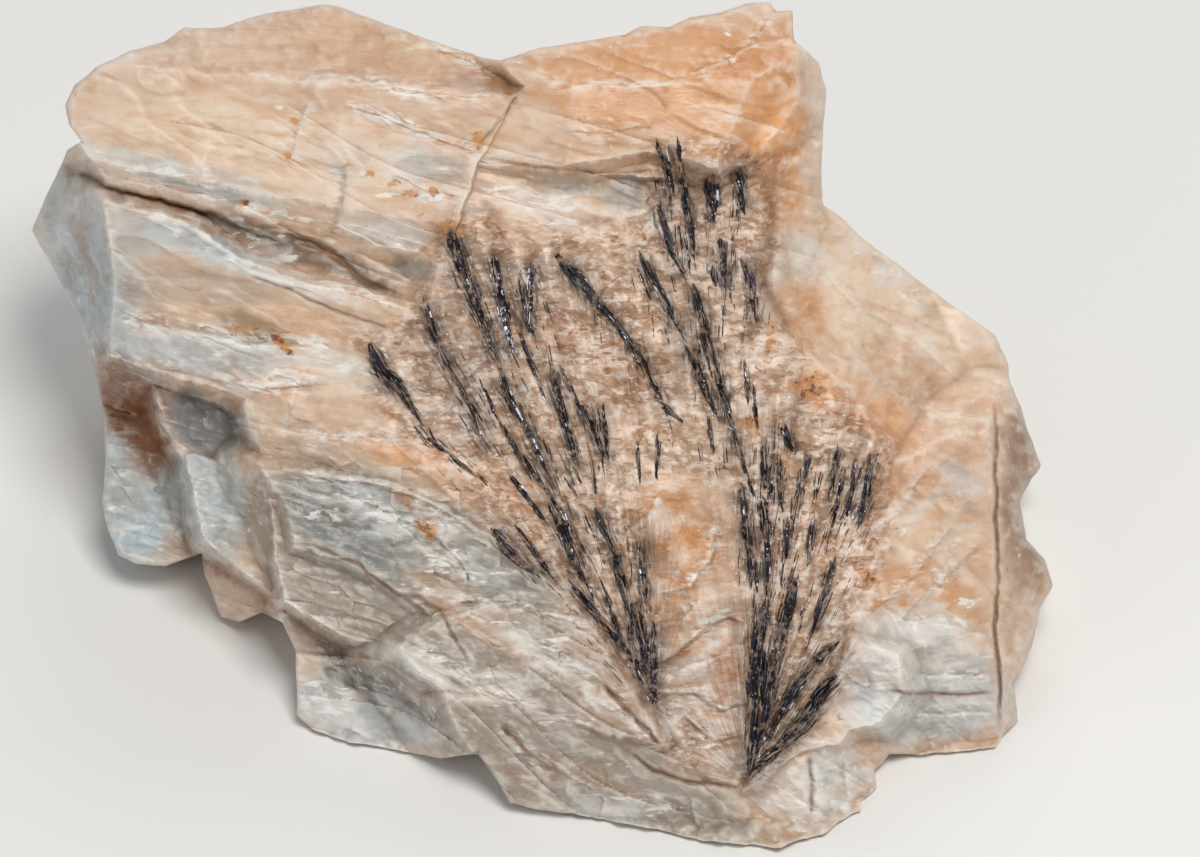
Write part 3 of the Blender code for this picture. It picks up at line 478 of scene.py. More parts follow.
# Where the feldspar is clouded by opaque white: centre, half width, half height, turn in degrees, strength.
MILK = [
    (-11.5, -4.5, 6.5, 2.6, -30, 0.55), (-6.0, -9.5, 10.0, 4.0, -32, 0.5), (0.0, -17.5, 12.0, 3.2, -14, 0.4),
    (-12.0, -13.5, 5.0, 2.4, -15, 0.8), (15.5, -11.5, 6.0, 4.5, 0, 0.9), (10.5, -17.5, 3.6, 3.0, 0, 0.9),
    (4.6, -13.0, 3.0, 3.6, 10, 0.8), (-20.5, 12.4, 7.0, 1.2, -18, 0.9), (-19.0, 9.4, 6.5, 1.1, -20, 1.0),
    (-15.5, 3.4, 8.0, 1.6, -8, 0.8), (-7.0, 2.2, 3.0, 3.4, 0, 0.8), (-9.6, 12.6, 5.0, 2.6, -20, 0.6),
    (-2.5, 11.5, 6.0, 1.4, 0, 0.7), (-20.0, -4.0, 3.0, 3.5, 30, 0.5), (14.5, 8.0, 5.0, 1.6, -38, 0.5),
    (18.0, -4.0, 2.0, 5.0, 10, 0.5), (-26.0, 6.0, 2.0, 6.0, 0, 0.4), (3.3, -7.0, 2.6, 1.6, 30, 0.5),
]

# Iron stains: centre, half width, half height, turn in degrees, strength.
STAINS = [
    (-7.4, 9.8, 0.9, 0.8, 0, 1.0), (-11.3, 4.1, 0.6, 0.5, 0, 0.9), (-5.0, 9.8, 0.8, 0.4, 0, 0.8),
    (-6.1, 14.4, 0.48, 0.64, 0, 1.4), (-12.4, 13.2, 0.29, 0.19, 0, 1.4), (-11.3, 12.9, 0.32, 0.22, 0, 1.4),
    (-10.2, 12.4, 0.42, 0.32, 0, 1.4), (-9.4, 11.6, 0.42, 0.32, 0, 1.4), (-8.3, 11.9, 0.38, 0.26, 0, 1.4),
    (-8.9, 10.9, 0.26, 0.19, 0, 1.4), (-15.3, 15.2, 0.42, 0.29, 0, 1.4), (-15.6, 13.7, 0.26, 0.19, 0, 1.4),
    (-17.6, 11.4, 0.32, 0.22, 0, 1.4), (-8.7, -5.0, 0.7, 0.5, -30, 1.0), (-9.6, -3.9, 0.6, 0.25, -30, 0.7),
    (3.0, 15.9, 1.2, 0.4, 70, 0.5), (7.4, 13.6, 1.2, 0.8, 0, 0.8), (9.0, 10.5, 0.6, 2.5, 0, 0.4),
    (7.3, 0.2, 1.4, 1.0, 0, 0.8), (10.6, 2.2, 1.8, 1.2, -40, 0.8), (13.6, -2.5, 0.8, 2.6, 0, 0.6),
    (13.4, -7.6, 0.9, 0.5, -60, 0.7), (13.9, -9.0, 0.5, 0.3, 20, 0.7), (8.4, 4.6, 0.5, 2.0, 0, 0.7),
    (7.3, -17.3, 0.5, 0.4, 0, 0.8), (-17.8, 5.1, 1.3, 0.5, -28, 0.8), (-15.8, 4.2, 0.8, 0.4, -28, 1.1),
    (-13.4, 8.7, 0.7, 0.2, -30, 0.5), (2.8, -9.4, 0.5, 1.0, 0, 0.5), (11.6, -14.6, 1.4, 0.3, 25, 0.7),
    (10.2, -1.5, 3.0, 2.0, 0, 0.35), (14.6, -5.0, 0.8, 0.6, 0, 0.5),
]

# Hollows where the painted shade is lifted: centre, half width, half height, strength.
OPEN_PLACES = [(9.4, 14.5, 2.6, 8.0, 0.9), (-27.6, 9.0, 2.4, 9.0, 1.0)]

# Where the dust of the needles is thin, in the same form.
CLEAN_PLACES = [(10.6, -6.0, 5.2, 11.0, 0.85), (-8.5, -0.5, 4.5, 3.5, 0.5), (-0.5, -8.0, 3.5, 4.5, 0.5)]

# What is laid over the broad tints.  A wash multiplies the colour under it, the others cover it.
COATS = {
    "warm_wash": (0.92, 0.84, 0.77),
    "layer_wash": (0.86, 0.72, 0.60),
    "pale_layer": (0.74, 0.67, 0.59),
    "cloud": (0.62, 0.63, 0.61),
    "flake": (0.76, 0.75, 0.71),
    "vein": (0.24, 0.25, 0.245),
    "glassy": (0.46, 0.22, 0.09),
    "rusty": (0.44, 0.20, 0.085),
    "murky": (0.19, 0.125, 0.08),
    "dark_grain": (0.28, 0.14, 0.075),
    "light_grain": (0.82, 0.65, 0.54),
    "cream": (0.82, 0.72, 0.61),
    "torn": (0.78, 0.765, 0.73),
    "edge_wear_and_highlight": (0.82, 0.77, 0.70),
    "painted_crevice_shade": (0.50, 0.36, 0.26),
    "painted_hollow_shade": (0.50, 0.40, 0.31),
    "crack": (0.21, 0.105, 0.048),
    "stain": (0.52, 0.215, 0.05),
    "fleck": (0.13, 0.05, 0.025),
    "dusk": (0.18, 0.11, 0.065),
    "grime": (0.050, 0.034, 0.030),
    "dust": (0.12, 0.070, 0.045),
    "painted_sparkle": (0.9, 0.88, 0.85),
    "needle_dust": (0.27, 0.18, 0.12),
}

# The needles' own colours beyond their dark one, each with the stretch of shade over which it comes in.
NEEDLE_SHADES = {
    (0.30, 0.36): (0.020, 0.019, 0.034),
    (0.50, 0.54): (0.060, 0.036, 0.026),
    (0.62, 0.68): (0.10, 0.095, 0.075),
    (0.76, 0.80): (0.36, 0.25, 0.17),
}

# ---------------------------------------------------------------- the crystals: width and path, mm
RIGHT_SPRAY_ROOT = [
    (0.90, [(8.3, -8.6), (7.95, -10.5), (7.95, -12.5), (8.05, -14.0), (7.8, -15.6), (7.45, -17.2)]),
    (0.60, [(9.75, -7.0), (9.5, -8.5), (9.0, -10.5), (8.45, -13.4), (8.1, -14.9)]),
    (0.60, [(11.9, -10.6), (10.75, -11.5), (9.9, -12.75), (9.1, -14.0), (8.2, -15.6)]),
    (0.70, [(12.0, -12.25), (11.0, -13.25), (10.25, -14.5), (9.4, -15.5), (8.4, -16.4), (7.5, -17.1)]),
]
LEFT_SPRAY_ROOT = [
    (0.55, [(1.5, -8.5), (1.9, -10.2), (2.3, -11.8), (2.7, -13.2)]),
    (0.45, [(-1.5, -7.6), (0.0, -9.5), (1.1, -10.7), (2.1, -11.9), (2.75, -13.3)]),
    (0.45, [(2.65, -9.6), (2.6, -11.2), (2.75, -13.1)]),
]
RIGHT_SPRAY = [
    (0.55, [(8.1, -3.4), (8.35, -6.0), (8.35, -8.0)]),
    (0.36, [(8.15, -0.7), (8.3, -2.8)]),
    (0.32, [(8.95, -1.6), (9.1, -3.8)]),
    (0.42, [(7.1, -2.8), (7.35, -4.8), (7.55, -7.6)]),
    (0.50, [(9.0, 0.4), (9.6, -1.0)]),
    (0.36, [(11.85, -0.8), (11.5, -3.6)]),
    (0.36, [(10.5, -1.1), (10.05, -3.6)]),
    (0.42, [(13.65, -1.4), (13.4, -3.0), (12.95, -4.4)]),
    (0.36, [(12.75, -1.5), (12.35, -4.2)]),
    (0.42, [(11.75, -6.3), (11.25, -8.25), (10.7, -9.8)]),
    (0.38, [(9.35, -4.4), (9.3, -6.3)]),
    (0.38, [(10.7, -4.2), (10.4, -6.6)]),
]
LEFT_SPRAY = [
    (0.70, [(-11.4, 4.1), (-10.9, 3.0), (-9.9, 1.9), (-8.5, -0.5), (-6.6, -2.0)]),
    (0.42, [(-8.75, 6.5), (-8.4, 5.0), (-7.75, 3.5), (-7.0, 2.25), (-6.25, 0.75), (-5.85, -0.65)]),
    (0.60, [(-7.4, 9.9), (-6.6, 7.25), (-6.0, 5.8), (-5.3, 3.9)]),
    (0.50, [(-5.35, 8.8), (-5.0, 7.0), (-4.4, 4.2)]),
    (0.34, [(-3.4, 8.4), (-3.6, 5.2)]),
    (0.50, [(-2.0, 8.6), (-0.5, 6.75), (1.0, 5.0), (2.25, 3.25), (3.0, 1.75)]),
    (0.40, [(-5.1, 3.1), (-4.5, 1.6), (-3.5, -0.25), (-2.75, -2.0), (-2.1, -3.2)]),
    (0.34, [(-2.35, 3.0), (-2.0, 1.25), (-1.3, -1.4)]),
    (0.34, [(-0.85, 1.2), (-0.35, 0.1), (0.15, -1.1)]),
    (0.40, [(-5.4, -5.0), (-4.7, -5.9), (-3.2, -7.1)]),
    (0.60, [(-2.0, -4.0), (-1.45, -5.9), (-0.5, -8.1)]),
    (0.40, [(-0.2, -4.0), (0.65, -6.0), (1.2, -7.7)]),
    (0.36, [(2.0, -5.4), (2.25, -8.4)]),
]
UPPER_SPRAY = [
    (0.34, [(3.25, 14.2), (3.65, 11.9)]),
    (0.34, [(4.15, 12.8), (4.4, 11.0), (4.7, 9.0)]),
    (0.44, [(5.6, 12.8), (5.7, 10.6)]),
    (0.40, [(2.85, 11.25), (3.25, 10.0), (3.6, 9.0), (4.2, 7.8)]),
    (0.38, [(2.0, 8.85), (2.6, 7.5), (3.4, 6.0), (4.05, 4.85)]),
    (0.40, [(4.75, 7.1), (5.3, 4.75), (5.75, 3.25), (6.2, 1.5), (6.65, 0.0), (7.05, -1.6)]),
    (0.34, [(4.3, 4.2), (5.0, 2.8), (5.85, 0.7)]),
    (0.42, [(7.1, 8.7), (7.6, 7.25), (7.8, 5.7)]),
    (0.42, [(6.9, 13.1), (7.2, 11.0)]),
    (0.44, [(6.05, 9.6), (6.2, 7.4)]),
]

SPRAYS = {"right_spray_root": RIGHT_SPRAY_ROOT, "left_spray_root": LEFT_SPRAY_ROOT}
SPRAYS.update({
    f"{side}_spray_crystal_{number:02d}": [rod]
    for side, rods in (("right", RIGHT_SPRAY), ("left", LEFT_SPRAY), ("upper", UPPER_SPRAY))
    for number, rod in enumerate(rods, start=1)
})

# Thin needles that lie apart from the crystals: width and path.
FINE_NEEDLES = [
    (0.25, [(-4.05, 7.75), (-3.80, 6.25)]), (0.12, [(-8.50, -0.50), (-6.50, -2.00)]),
    (0.20, [(-5.10, 3.35), (-4.40, 1.50)]), (0.20, [(2.75, 1.60), (4.00, 0.50)]),
    (0.20, [(2.80, 14.50), (3.10, 13.50)]), (0.20, [(3.85, 14.65), (4.00, 13.50)]),
    (0.30, [(5.30, 12.60), (5.40, 11.50)]), (0.20, [(1.85, 8.25), (2.50, 6.65)]),
    (0.20, [(6.45, 0.60), (7.75, -3.50)]), (0.25, [(7.25, 3.50), (7.40, 1.50)]),
    (0.25, [(7.65, 2.25), (7.85, 0.25)]), (0.25, [(5.40, 1.00), (5.65, -1.00)]),
    (0.22, [(2.90, -0.15), (2.80, -2.25)]), (0.22, [(1.85, -0.50), (2.00, -2.50)]),
    (0.22, [(-0.50, -1.25), (-0.25, -3.00)]), (0.30, [(-3.80, -1.25), (-2.75, -3.00)]),
    (0.25, [(-4.50, -2.25), (-2.75, -4.50)]), (0.28, [(-4.25, -4.75), (-2.35, -7.40)]),
    (0.25, [(-2.60, -3.50), (-1.50, -6.50)]), (0.25, [(1.35, -9.75), (2.00, -12.50)]),
    (0.25, [(7.75, -6.50), (7.85, -8.00)]), (0.30, [(11.75, -6.50), (10.75, -9.50)]),
    (0.22, [(-2.00, 1.20), (-1.20, -1.35)]), (0.25, [(0.15, 1.30), (0.40, -1.25)]),
    (0.18, [(-1.40, -1.75), (-0.95, -2.60)]), (0.20, [(-2.65, -3.10), (-1.30, -5.20)]),
    (0.18, [(-1.80, -2.30), (-1.20, -3.30)]), (0.20, [(-5.00, 0.50), (-3.50, -2.40)]),
    (0.18, [(-6.00, 2.50), (-4.60, -0.50)]), (0.25, [(8.75, -1.25), (8.25, -4.50)]),
    (0.25, [(10.00, -2.00), (9.50, -5.75)]), (0.20, [(12.25, -2.00), (11.60, -5.00)]),
    (0.30, [(13.50, -1.25), (13.10, -4.50)]), (0.25, [(-4.00, 4.75), (-2.75, 1.50)]),
    (0.20, [(-2.00, 3.25), (-0.75, 0.50)]), (0.20, [(5.00, 5.00), (5.60, 2.75)]),
    (0.28, [(0.00, -7.50), (1.10, -10.50)]), (0.25, [(0.60, -6.50), (1.60, -9.50)]),
    (0.25, [(2.00, -8.50), (2.50, -11.50)]), (0.35, [(5.60, 8.25), (5.80, 7.25)]),
    (0.35, [(-3.65, 5.40), (-3.35, 4.85)]),
]

# How a crystal's needles differ from the usual: density, share painted with glints, lean to the outer end,
# rust.
USUAL_LOOK = (1.0, 0.05, 1.2, 0.0)
LOOKS = {
    "left_spray_crystal_01": (0.9, 0.02, 5.0, 0.25),
    "left_spray_crystal_02": (0.6, 0.06, 1.0, 0.30),
    "left_spray_crystal_03": (1.3, 0.02, 1.3, 0.12),
    "left_spray_crystal_04": (1.3, 0.40, 1.0, 0.0),
    "left_spray_crystal_05": (1.0, 0.50, 1.0, 0.0),
    "left_spray_crystal_06": (1.6, 0.10, 1.5, 0.0),
    "left_spray_crystal_07": (0.8, 0.06, 1.0, 0.15),
    "left_spray_crystal_10": (0.6, 0.10, 1.0, 0.1),
    "left_spray_crystal_11": (1.1, 0.25, 1.0, 0.0),
    "upper_spray_crystal_01": (1.0, 0.25, 1.2, 0.0),
    "upper_spray_crystal_03": (1.0, 0.25, 1.2, 0.0),
    "upper_spray_crystal_08": (0.6, 0.03, 1.0, 0.2),
    "right_spray_crystal_05": (0.8, 0.15, 1.0, 0.1),
    "right_spray_crystal_06": (0.4, 0.04, 1.0, 0.1),
    "right_spray_crystal_07": (0.4, 0.04, 1.0, 0.1),
    "right_spray_crystal_08": (0.7, 0.02, 1.0, 0.2),
    "right_spray_crystal_09": (0.35, 0.04, 1.0, 0.1),
    "right_spray_crystal_10": (0.6, 0.02, 1.0, 0.2),
    "right_spray_crystal_11": (0.4, 0.05, 1.0, 0.1),
    "right_spray_crystal_12": (0.4, 0.03, 1.0, 0.1),
    "right_spray_root": (1.2, 0.05, 0.9, 0.0),
    "left_spray_root": (0.8, 0.05, 1.0, 0.15),
}

# ---------------------------------------------------------------- the stage, in metres
SENSOR = 36.0                        # the camera's sensor width in millimetres
CAMERA_RISE = 0.075                  # the camera looks this many millimetres above the face's origin
# Soft square lights: name, place, width, power, colour.
LAMPS = [
    ("key light", (0.07, -0.17, 0.37), 0.14, 1.30, (1.0, 0.98, 0.95)),
    ("fill light", (-0.30, -0.22, 0.20), 0.30, 0.25, (0.92, 0.96, 1.0)),
    ("back light", (0.05, 0.36, 0.30), 0.28, 0.50, (1.0, 0.98, 0.95)),
]


# ---------------------------------------------------------------- patterns worked out with numpy
def world(u, v, d):
    """Face coordinates in millimetres to world coordinates in metres.

    The point is the origin plus u and v, both spread by 1 + SPREAD d, less d along the outward normal.
    """
    spread = 1.0 + SPREAD * d
    place = (ORIGIN + (u * spread)[..., None] * ALONG_U + (v * spread)[..., None] * ALONG_V
             - d[..., None] * OUTWARD)
    return place * MM


def face(points):
    """World coordinates in metres back to face coordinates in millimetres: the inverse of world."""
    rel = points / MM - ORIGIN
    d = -rel @ OUTWARD
    spread = 1.0 + SPREAD * d
    return rel @ ALONG_U / spread, rel @ ALONG_V / spread, d


def hashed(i, j, seed):
    """A repeatable number from 0 to 1 for each whole pair (i, j): multiply, exclusive-or and shift."""
    h = (i * 374761393 + j * 668265263 + seed * 1442695041) & 0xFFFFFFFF
    h = ((h ^ (h >> 13)) * 1274126177) & 0xFFFFFFFF
    h = ((h ^ (h >> 16)) * 2246822519) & 0xFFFFFFFF
    return (h ^ (h >> 15)) / 4294967296.0


def ease(x):
    """0 below 0, 1 above 1 and 3x^2 - 2x^3 between."""
    x = np.clip(x, 0.0, 1.0)
    return x * x * (3.0 - 2.0 * x)


def swell(u, v, size, seed):
    """Smooth noise from -1 to 1: hashed corner values of a square grid, blended with an eased weight."""
    x, y = u / size, v / size
    i, j = np.floor(x).astype(np.int64), np.floor(y).astype(np.int64)
    fx, fy = ease(x - i), ease(y - j)
    low = hashed(i, j, seed) * (1 - fx) + hashed(i + 1, j, seed) * fx
    high = hashed(i, j + 1, seed) * (1 - fx) + hashed(i + 1, j + 1, seed) * fx
    return 2.0 * (low * (1 - fy) + high * fy) - 1.0


def rough(u, v, size, seed, octaves=4):
    """Sum of swells, each half the size and half the height of the one before, turned by 37 degrees."""
    total, height, reach = 0.0, 1.0, 0.0
    for octave in range(octaves):
        total = total + height * swell(u, v, size, seed + octave)
        reach += height
        u, v = 0.8 * u - 0.6 * v, 0.6 * u + 0.8 * v
        size, height = size / 2, height / 2
    return total / reach


def bent(u, v, push, size, seeds):
    """Places pushed about by noise: u and v each plus the push times a noise of its own."""
    return u + push * rough(u, v, size, seeds[0]), v + push * rough(u, v, size, seeds[1])


def taper(share, run):
    """0 at both ends of a line and 1 between, eased over a run of its length at each end."""
    return ease(share / run) * ease((1 - share) / run)


def chips(u, v, size, tilt, seed, angle=0.0, stretch=1.0, step=1.0):
    """Broken facets: each cell round a scattered point is a plane of its own tilt and height.

    The cells are those of the nearest of the points hashed one to a square; step is the share of the
    difference in height from cell to cell.
    """
    c, s = math.cos(angle), math.sin(angle)
    x, y = (u * c + v * s) / (size * stretch), (-u * s + v * c) / size
    i, j = np.floor(x).astype(np.int64), np.floor(y).astype(np.int64)
    first = np.full(x.shape, 9.0)
    plane = np.zeros(x.shape)
    for di in (-1, 0, 1):
        for dj in (-1, 0, 1):
            a, b = i + di, j + dj
            px, py = x - a - hashed(a, b, seed), y - b - hashed(a, b, seed + 1)
            far = np.hypot(px, py)
            height = (step * (hashed(a, b, seed + 2) - 0.5) + (hashed(a, b, seed + 3) - 0.5) * px * 1.6
                      + (hashed(a, b, seed + 4) - 0.5) * py * 1.6)
            near = far < first
            plane = np.where(near, height, plane)
            first = np.where(near, far, first)
    return plane * tilt * size


def terraces(along, across, size, stretch, levels, step, seed):
    """Cleavage steps: flat treads between the contour lines of stretched noise, with steep risers."""
    height = levels * rough(along / stretch, across, size, seed, 4)
    tread = np.floor(height)
    return step * (tread + ease((height - tread - 0.84) / 0.16))


def near_box(u, v, corners, reach):
    """Which points lie within reach of the box round some corners."""
    ring = np.array(corners, float)
    low, high = ring.min(axis=0) - reach, ring.max(axis=0) + reach
    return (u > low[0]) & (u < high[0]) & (v > low[1]) & (v < high[1])


def outside(u, v, corners):
    """Distance to a polygon's edge, negative inside: nearest edge, with the sign from crossings."""
    ring = np.array(corners, float)
    best = np.full(u.shape, 1e9)
    inside = np.zeros(u.shape, bool)
    for (ua, va), (ub, vb) in zip(ring, np.roll(ring, -1, axis=0)):
        eu, ev = ub - ua, vb - va
        t = np.clip(((u - ua) * eu + (v - va) * ev) / (eu * eu + ev * ev), 0, 1)
        best = np.minimum(best, (u - ua - t * eu) ** 2 + (v - va - t * ev) ** 2)
        if ev:
            inside ^= ((va > v) != (vb > v)) & (u < eu * (v - va) / ev + ua)
    return np.where(inside, -1.0, 1.0) * np.sqrt(best)


def along_line(u, v, path):
    """Signed distance to a broken line, positive on its right, and how far along it, from 0 to 1."""
    ring = np.array(path, float)
    runs = np.hypot(*np.diff(ring, axis=0).T)
    starts = np.concatenate([[0.0], np.cumsum(runs)])
    best = np.full(u.shape, 1e9)
    side = np.zeros(u.shape)
    share = np.zeros(u.shape)
    for (ua, va), (ub, vb), run, start in zip(ring, ring[1:], runs, starts):
        eu, ev = (ub - ua) / run, (vb - va) / run
        t = np.clip((u - ua) * eu + (v - va) * ev, 0, run)
        gap = np.hypot(u - ua - t * eu, v - va - t * ev)
        closer = gap < best
        side = np.where(closer, np.sign((u - ua) * ev - (v - va) * eu), side)
        share = np.where(closer, (start + t) / starts[-1], share)
        best = np.minimum(best, gap)
    return best * side, share


def blob(u, v, centre_u, centre_v, wide, tall, turn=0.0):
    """1 at the centre of a turned ellipse, easing to 0 at its edge."""
    c, s = math.cos(math.radians(turn)), math.sin(math.radians(turn))
    du, dv = u - centre_u, v - centre_v
    return ease(1.0 - np.hypot((du * c + dv * s) / wide, (dv * c - du * s) / tall))


def new_mesh(name, points, quads, triangles=None):
    """A mesh object from arrays of points, quads and triangles, at the origin."""
    mesh = bpy.data.meshes.new(name)
    faces = [quads] if triangles is None else [quads, triangles]
    corners = np.concatenate([part.ravel() for part in faces])
    sizes = np.concatenate([np.full(len(part), part.shape[1]) for part in faces])
    mesh.vertices.add(len(points))
    mesh.vertices.foreach_set("co", np.ascontiguousarray(points, np.float32).ravel())
    mesh.loops.add(len(corners))
    mesh.loops.foreach_set("vertex_index", corners.astype(np.int32))
    mesh.polygons.add(len(sizes))
    mesh.polygons.foreach_set("loop_start", np.concatenate([[0], np.cumsum(sizes)[:-1]]).astype(np.int32))
    mesh.update(calc_edges=True)
    mesh.validate()
    obj = bpy.data.objects.new(name, mesh)
    bpy.context.scene.collection.objects.link(obj)
    return obj


def vertex_points(mesh):
    """The mesh's vertices as an array of rows (x, y, z)."""
    flat = np.empty(len(mesh.vertices) * 3, np.float32)
    mesh.vertices.foreach_get("co", flat)
    return flat.reshape(-1, 3).astype(float)


def store(mesh, name, values):
    """Keep one number for each vertex as a named attribute."""
    layer = mesh.attributes.new(name, "FLOAT", "POINT")
    layer.data.foreach_set("value", np.ascontiguousarray(values, np.float32))


def store_vectors(mesh, name, first, second):
    """Keep two numbers for each vertex as a named vector attribute, with a third of 0."""
    layer = mesh.attributes.new(name, "FLOAT_VECTOR", "POINT")
    both = np.stack([first, second, 0 * first], axis=1)
    layer.data.foreach_set("vector", np.ascontiguousarray(both, np.float32).ravel())


# ---------------------------------------------------------------- the rock's shape
def plane_depth(u, v, planes):
    """The deepest of flat planes, each its depth at a point plus its rise times the way from there."""
    depths = [d + rise_u * (u - u0) + rise_v * (v - v0) for u0, v0, d, rise_u, rise_v in planes]
    return np.maximum.reduce(depths)


def slab_depth(u, v):
    """The nearest of the slabs' fronts, each falling away steeply outside its own outline."""
    depth = np.full(u.shape, NOWHERE)
    for name, (corners, planes) in SLABS.items():
        slope = GENTLE_WALLS.get(name, WALL_SLOPE)
        here = near_box(u, v, corners, DEEPEST / slope)
        part_u, part_v = u[here], v[here]
        away = np.maximum(outside(part_u, part_v, corners), 0.0)
        depth[here] = np.minimum(depth[here], plane_depth(part_u, part_v, planes) + slope * away)
    return depth


def across_layers(u, v):
    """Height across the layering, whose lines run down to the right, more steeply lower on the face."""
    return v + (0.28 + 0.30 * ease((4.0 - v) / 22.0)) * u


def layers(across, along, period, height, seed):
    """Overlapping plates: depth falls evenly up each plate, so that its upper edge stands proud."""
    wander = across / period + 0.9 * swell(along, across, period * 3.5, seed)
    part = wander - np.floor(wander)
    fade = ease(0.55 + 0.9 * swell(along, across, period * 2.5, seed + 7))
    return height * fade * (0.5 - part)


def fan_share(u, v):
    """0 in the left fan, 1 in the right."""
    return ease((u - 3.0 + 0.10 * v) / 1.6 + 0.5)


def fan_noise(u, v, size, stretch, seed, octaves):
    """Noise drawn out along the lines that meet at a fan's foot, eased from the left fan to the right."""
    fans = []
    for foot_u, foot_v in (LEFT_APEX, RIGHT_APEX):
        radius = np.hypot(u - foot_u, v - foot_v)
        lines = rough(11.0 * np.arctan2(u - foot_u, v - foot_v), radius / stretch, size, seed, octaves)
        fans.append(lines * ease((radius - 1.0) / 5.0))
    return fans[0] + fan_share(u, v) * (fans[1] - fans[0])


def bed_share(u, v):
    """1 in the granular bed that holds the needles, easing to 0 outside its ragged border."""
    bent_u, bent_v = bent(u, v, 0.9, 1.8, (127, 139))
    return ease(0.5 - outside(bent_u, bent_v, NEEDLE_BED) / 1.8)


def wedge_share(u, v):
    """1 on the smooth plates between the two fans."""
    return ease(0.5 - outside(u + 0.4 * rough(u, v, 1.3, 141), v, SMOOTH_WEDGE) / 1.4)


def around(u, v, reach, count, turn=0.0):
    """The slabs' mean depth on a circle round each point."""
    total = np.zeros(u.shape)
    for step in range(count):
        angle = turn + 2 * math.pi * step / count
        depth = slab_depth(u + reach * math.cos(angle), v + reach * math.sin(angle))
        total += np.minimum(depth, DEEPEST)
    return total / count


def torn_share(u, v):
    """1 along the broken lips of slabs and ledges, fading to 0 a few tenths of a millimetre away."""
    torn = ease((around(u, v, 0.45, 3, 0.5) - slab_depth(u, v) - 0.15) / 0.7)
    for path, drop, _ in LEDGES:
        here = near_box(u, v, path, 1.4)
        gap, share = along_line(u[here], v[here], path)
        reach = 0.30 + 0.5 * abs(drop)
        lip = np.exp(-(gap / reach) ** 2) * ease(share / 0.1) * ease((1 - share) / 0.1)
        torn[here] = np.maximum(torn[here], lip * ease(abs(drop) / 0.2))
    return torn * ease(0.7 + 0.8 * rough(u, v, 1.4, 131))


def relief(u, v):
    """What is added to the slabs' planes: layered plates, cleavage steps, the granular bed, and cracks."""
    across = across_layers(u, v)
    bed = bed_share(u, v)
    massive = ease((u - 8.5) / 3.0) * ease((9.0 - v) / 3.0 + 0.5) * ease((v + 13.0) / 3.0)
    roof = ease((v - 15.0) / 2.0)
    layered = (1 - bed) * (1 - massive) * (1 - roof)
    calm = ease(0.5 + 0.9 * rough(u, across, 5.0, 53, 2))
    depth = 0.36 * rough(u, v, 6.5, 51, 3)
    depth += (1 - bed) * terraces(u, across, 7.0, 2.4, 3.2, 0.11, 31)
    depth += layered * (terraces(u, across, 2.6, 3.2, 3.4, 0.05, 37)
                        + (0.25 + 0.75 * calm) * terraces(u, across, 0.9, 4.0, 3.0, 0.025, 41)
                        + layers(across, u, 2.6, 0.15, 61) + calm * layers(across, u, 0.8, 0.06, 67))
    depth += (massive + roof) * (0.10 * rough(u / 1.6, across, 1.6, 79)
                                 + terraces(u, across, 2.2, 2.0, 2.2, 0.04, 83))
    grain = bed * (1 - 0.85 * wedge_share(u, v))
    torn = torn_share(u, v) * (1 - grain)
    splinters = chips(u, across, 0.42, 0.34, 43, stretch=2.6)
    depth += torn * (splinters + 0.08 * rough(u, v, 0.35, 47, 2))
    depth += bed * (0.24 * rough(u, v, 2.4, 101) + terraces(u, v + 0.12 * u, 1.9, 2.0, 2.4, 0.035, 93))
    depth += grain * (0.34 * fan_noise(u, v, 0.85, 2.2, 103, 3) + 0.16 * fan_noise(u, v, 0.30, 3.0, 107, 2)
                      + 0.16 * rough(u / 1.8, v, 0.45, 91, 3)
                      + chips(u, v, 0.60, 0.16, 89, angle=-0.12, stretch=1.8, step=0.2))
    crushed = (1 - bed) * ease((-2.0 - v - 0.35 * u) / 3.0)
    depth += crushed * (0.10 * rough(u, across, 0.7, 71, 3)
                        + chips(u, across, 1.0, 0.10, 73, stretch=1.7, step=0.4))
    for centre_u, centre_v, wide, tall, turn, height in LUMPS:
        depth -= height * blob(u, v, centre_u, centre_v, wide, tall, turn)
    bent_u, bent_v = bent(u, v, *LINE_BEND)
    for path, drop, reach in LEDGES:
        here = near_box(bent_u, bent_v, path, 4.5 * reach)
        gap, share = along_line(bent_u[here], bent_v[here], path)
        fall = drop * ease(gap / (0.05 + 0.4 * abs(drop))) * np.exp(-np.maximum(gap, 0.0) / reach)
        depth[here] += fall * taper(share, 0.12)
    for path, deep, wide in CRACKS:
        here = near_box(bent_u, bent_v, path, 4.0 * wide)
        gap, share = along_line(bent_u[here], bent_v[here], path)
        depth[here] += deep * np.exp(-(gap / wide) ** 2) * taper(share, 0.15)
    return depth


def front_depth(u, v):
    """The rock's front: slabs whose edges wander a little, plus the relief."""
    bent_u = u + 0.22 * rough(u, v, 2.4, 11) + 0.10 * rough(u, v, 0.5, 13, 3)
    bent_v = v + 0.22 * rough(u, v, 2.4, 23) + 0.10 * rough(u, v, 0.5, 29, 3)
    return slab_depth(bent_u, bent_v) + relief(u, v)


def base_depth(v):
    """The depth at which the sight line at height v meets the flat base."""
    lean, rise = math.sin(LEAN), math.cos(LEAN)
    return (FACE_HEIGHT + v * rise) / (lean - SPREAD * v * rise)


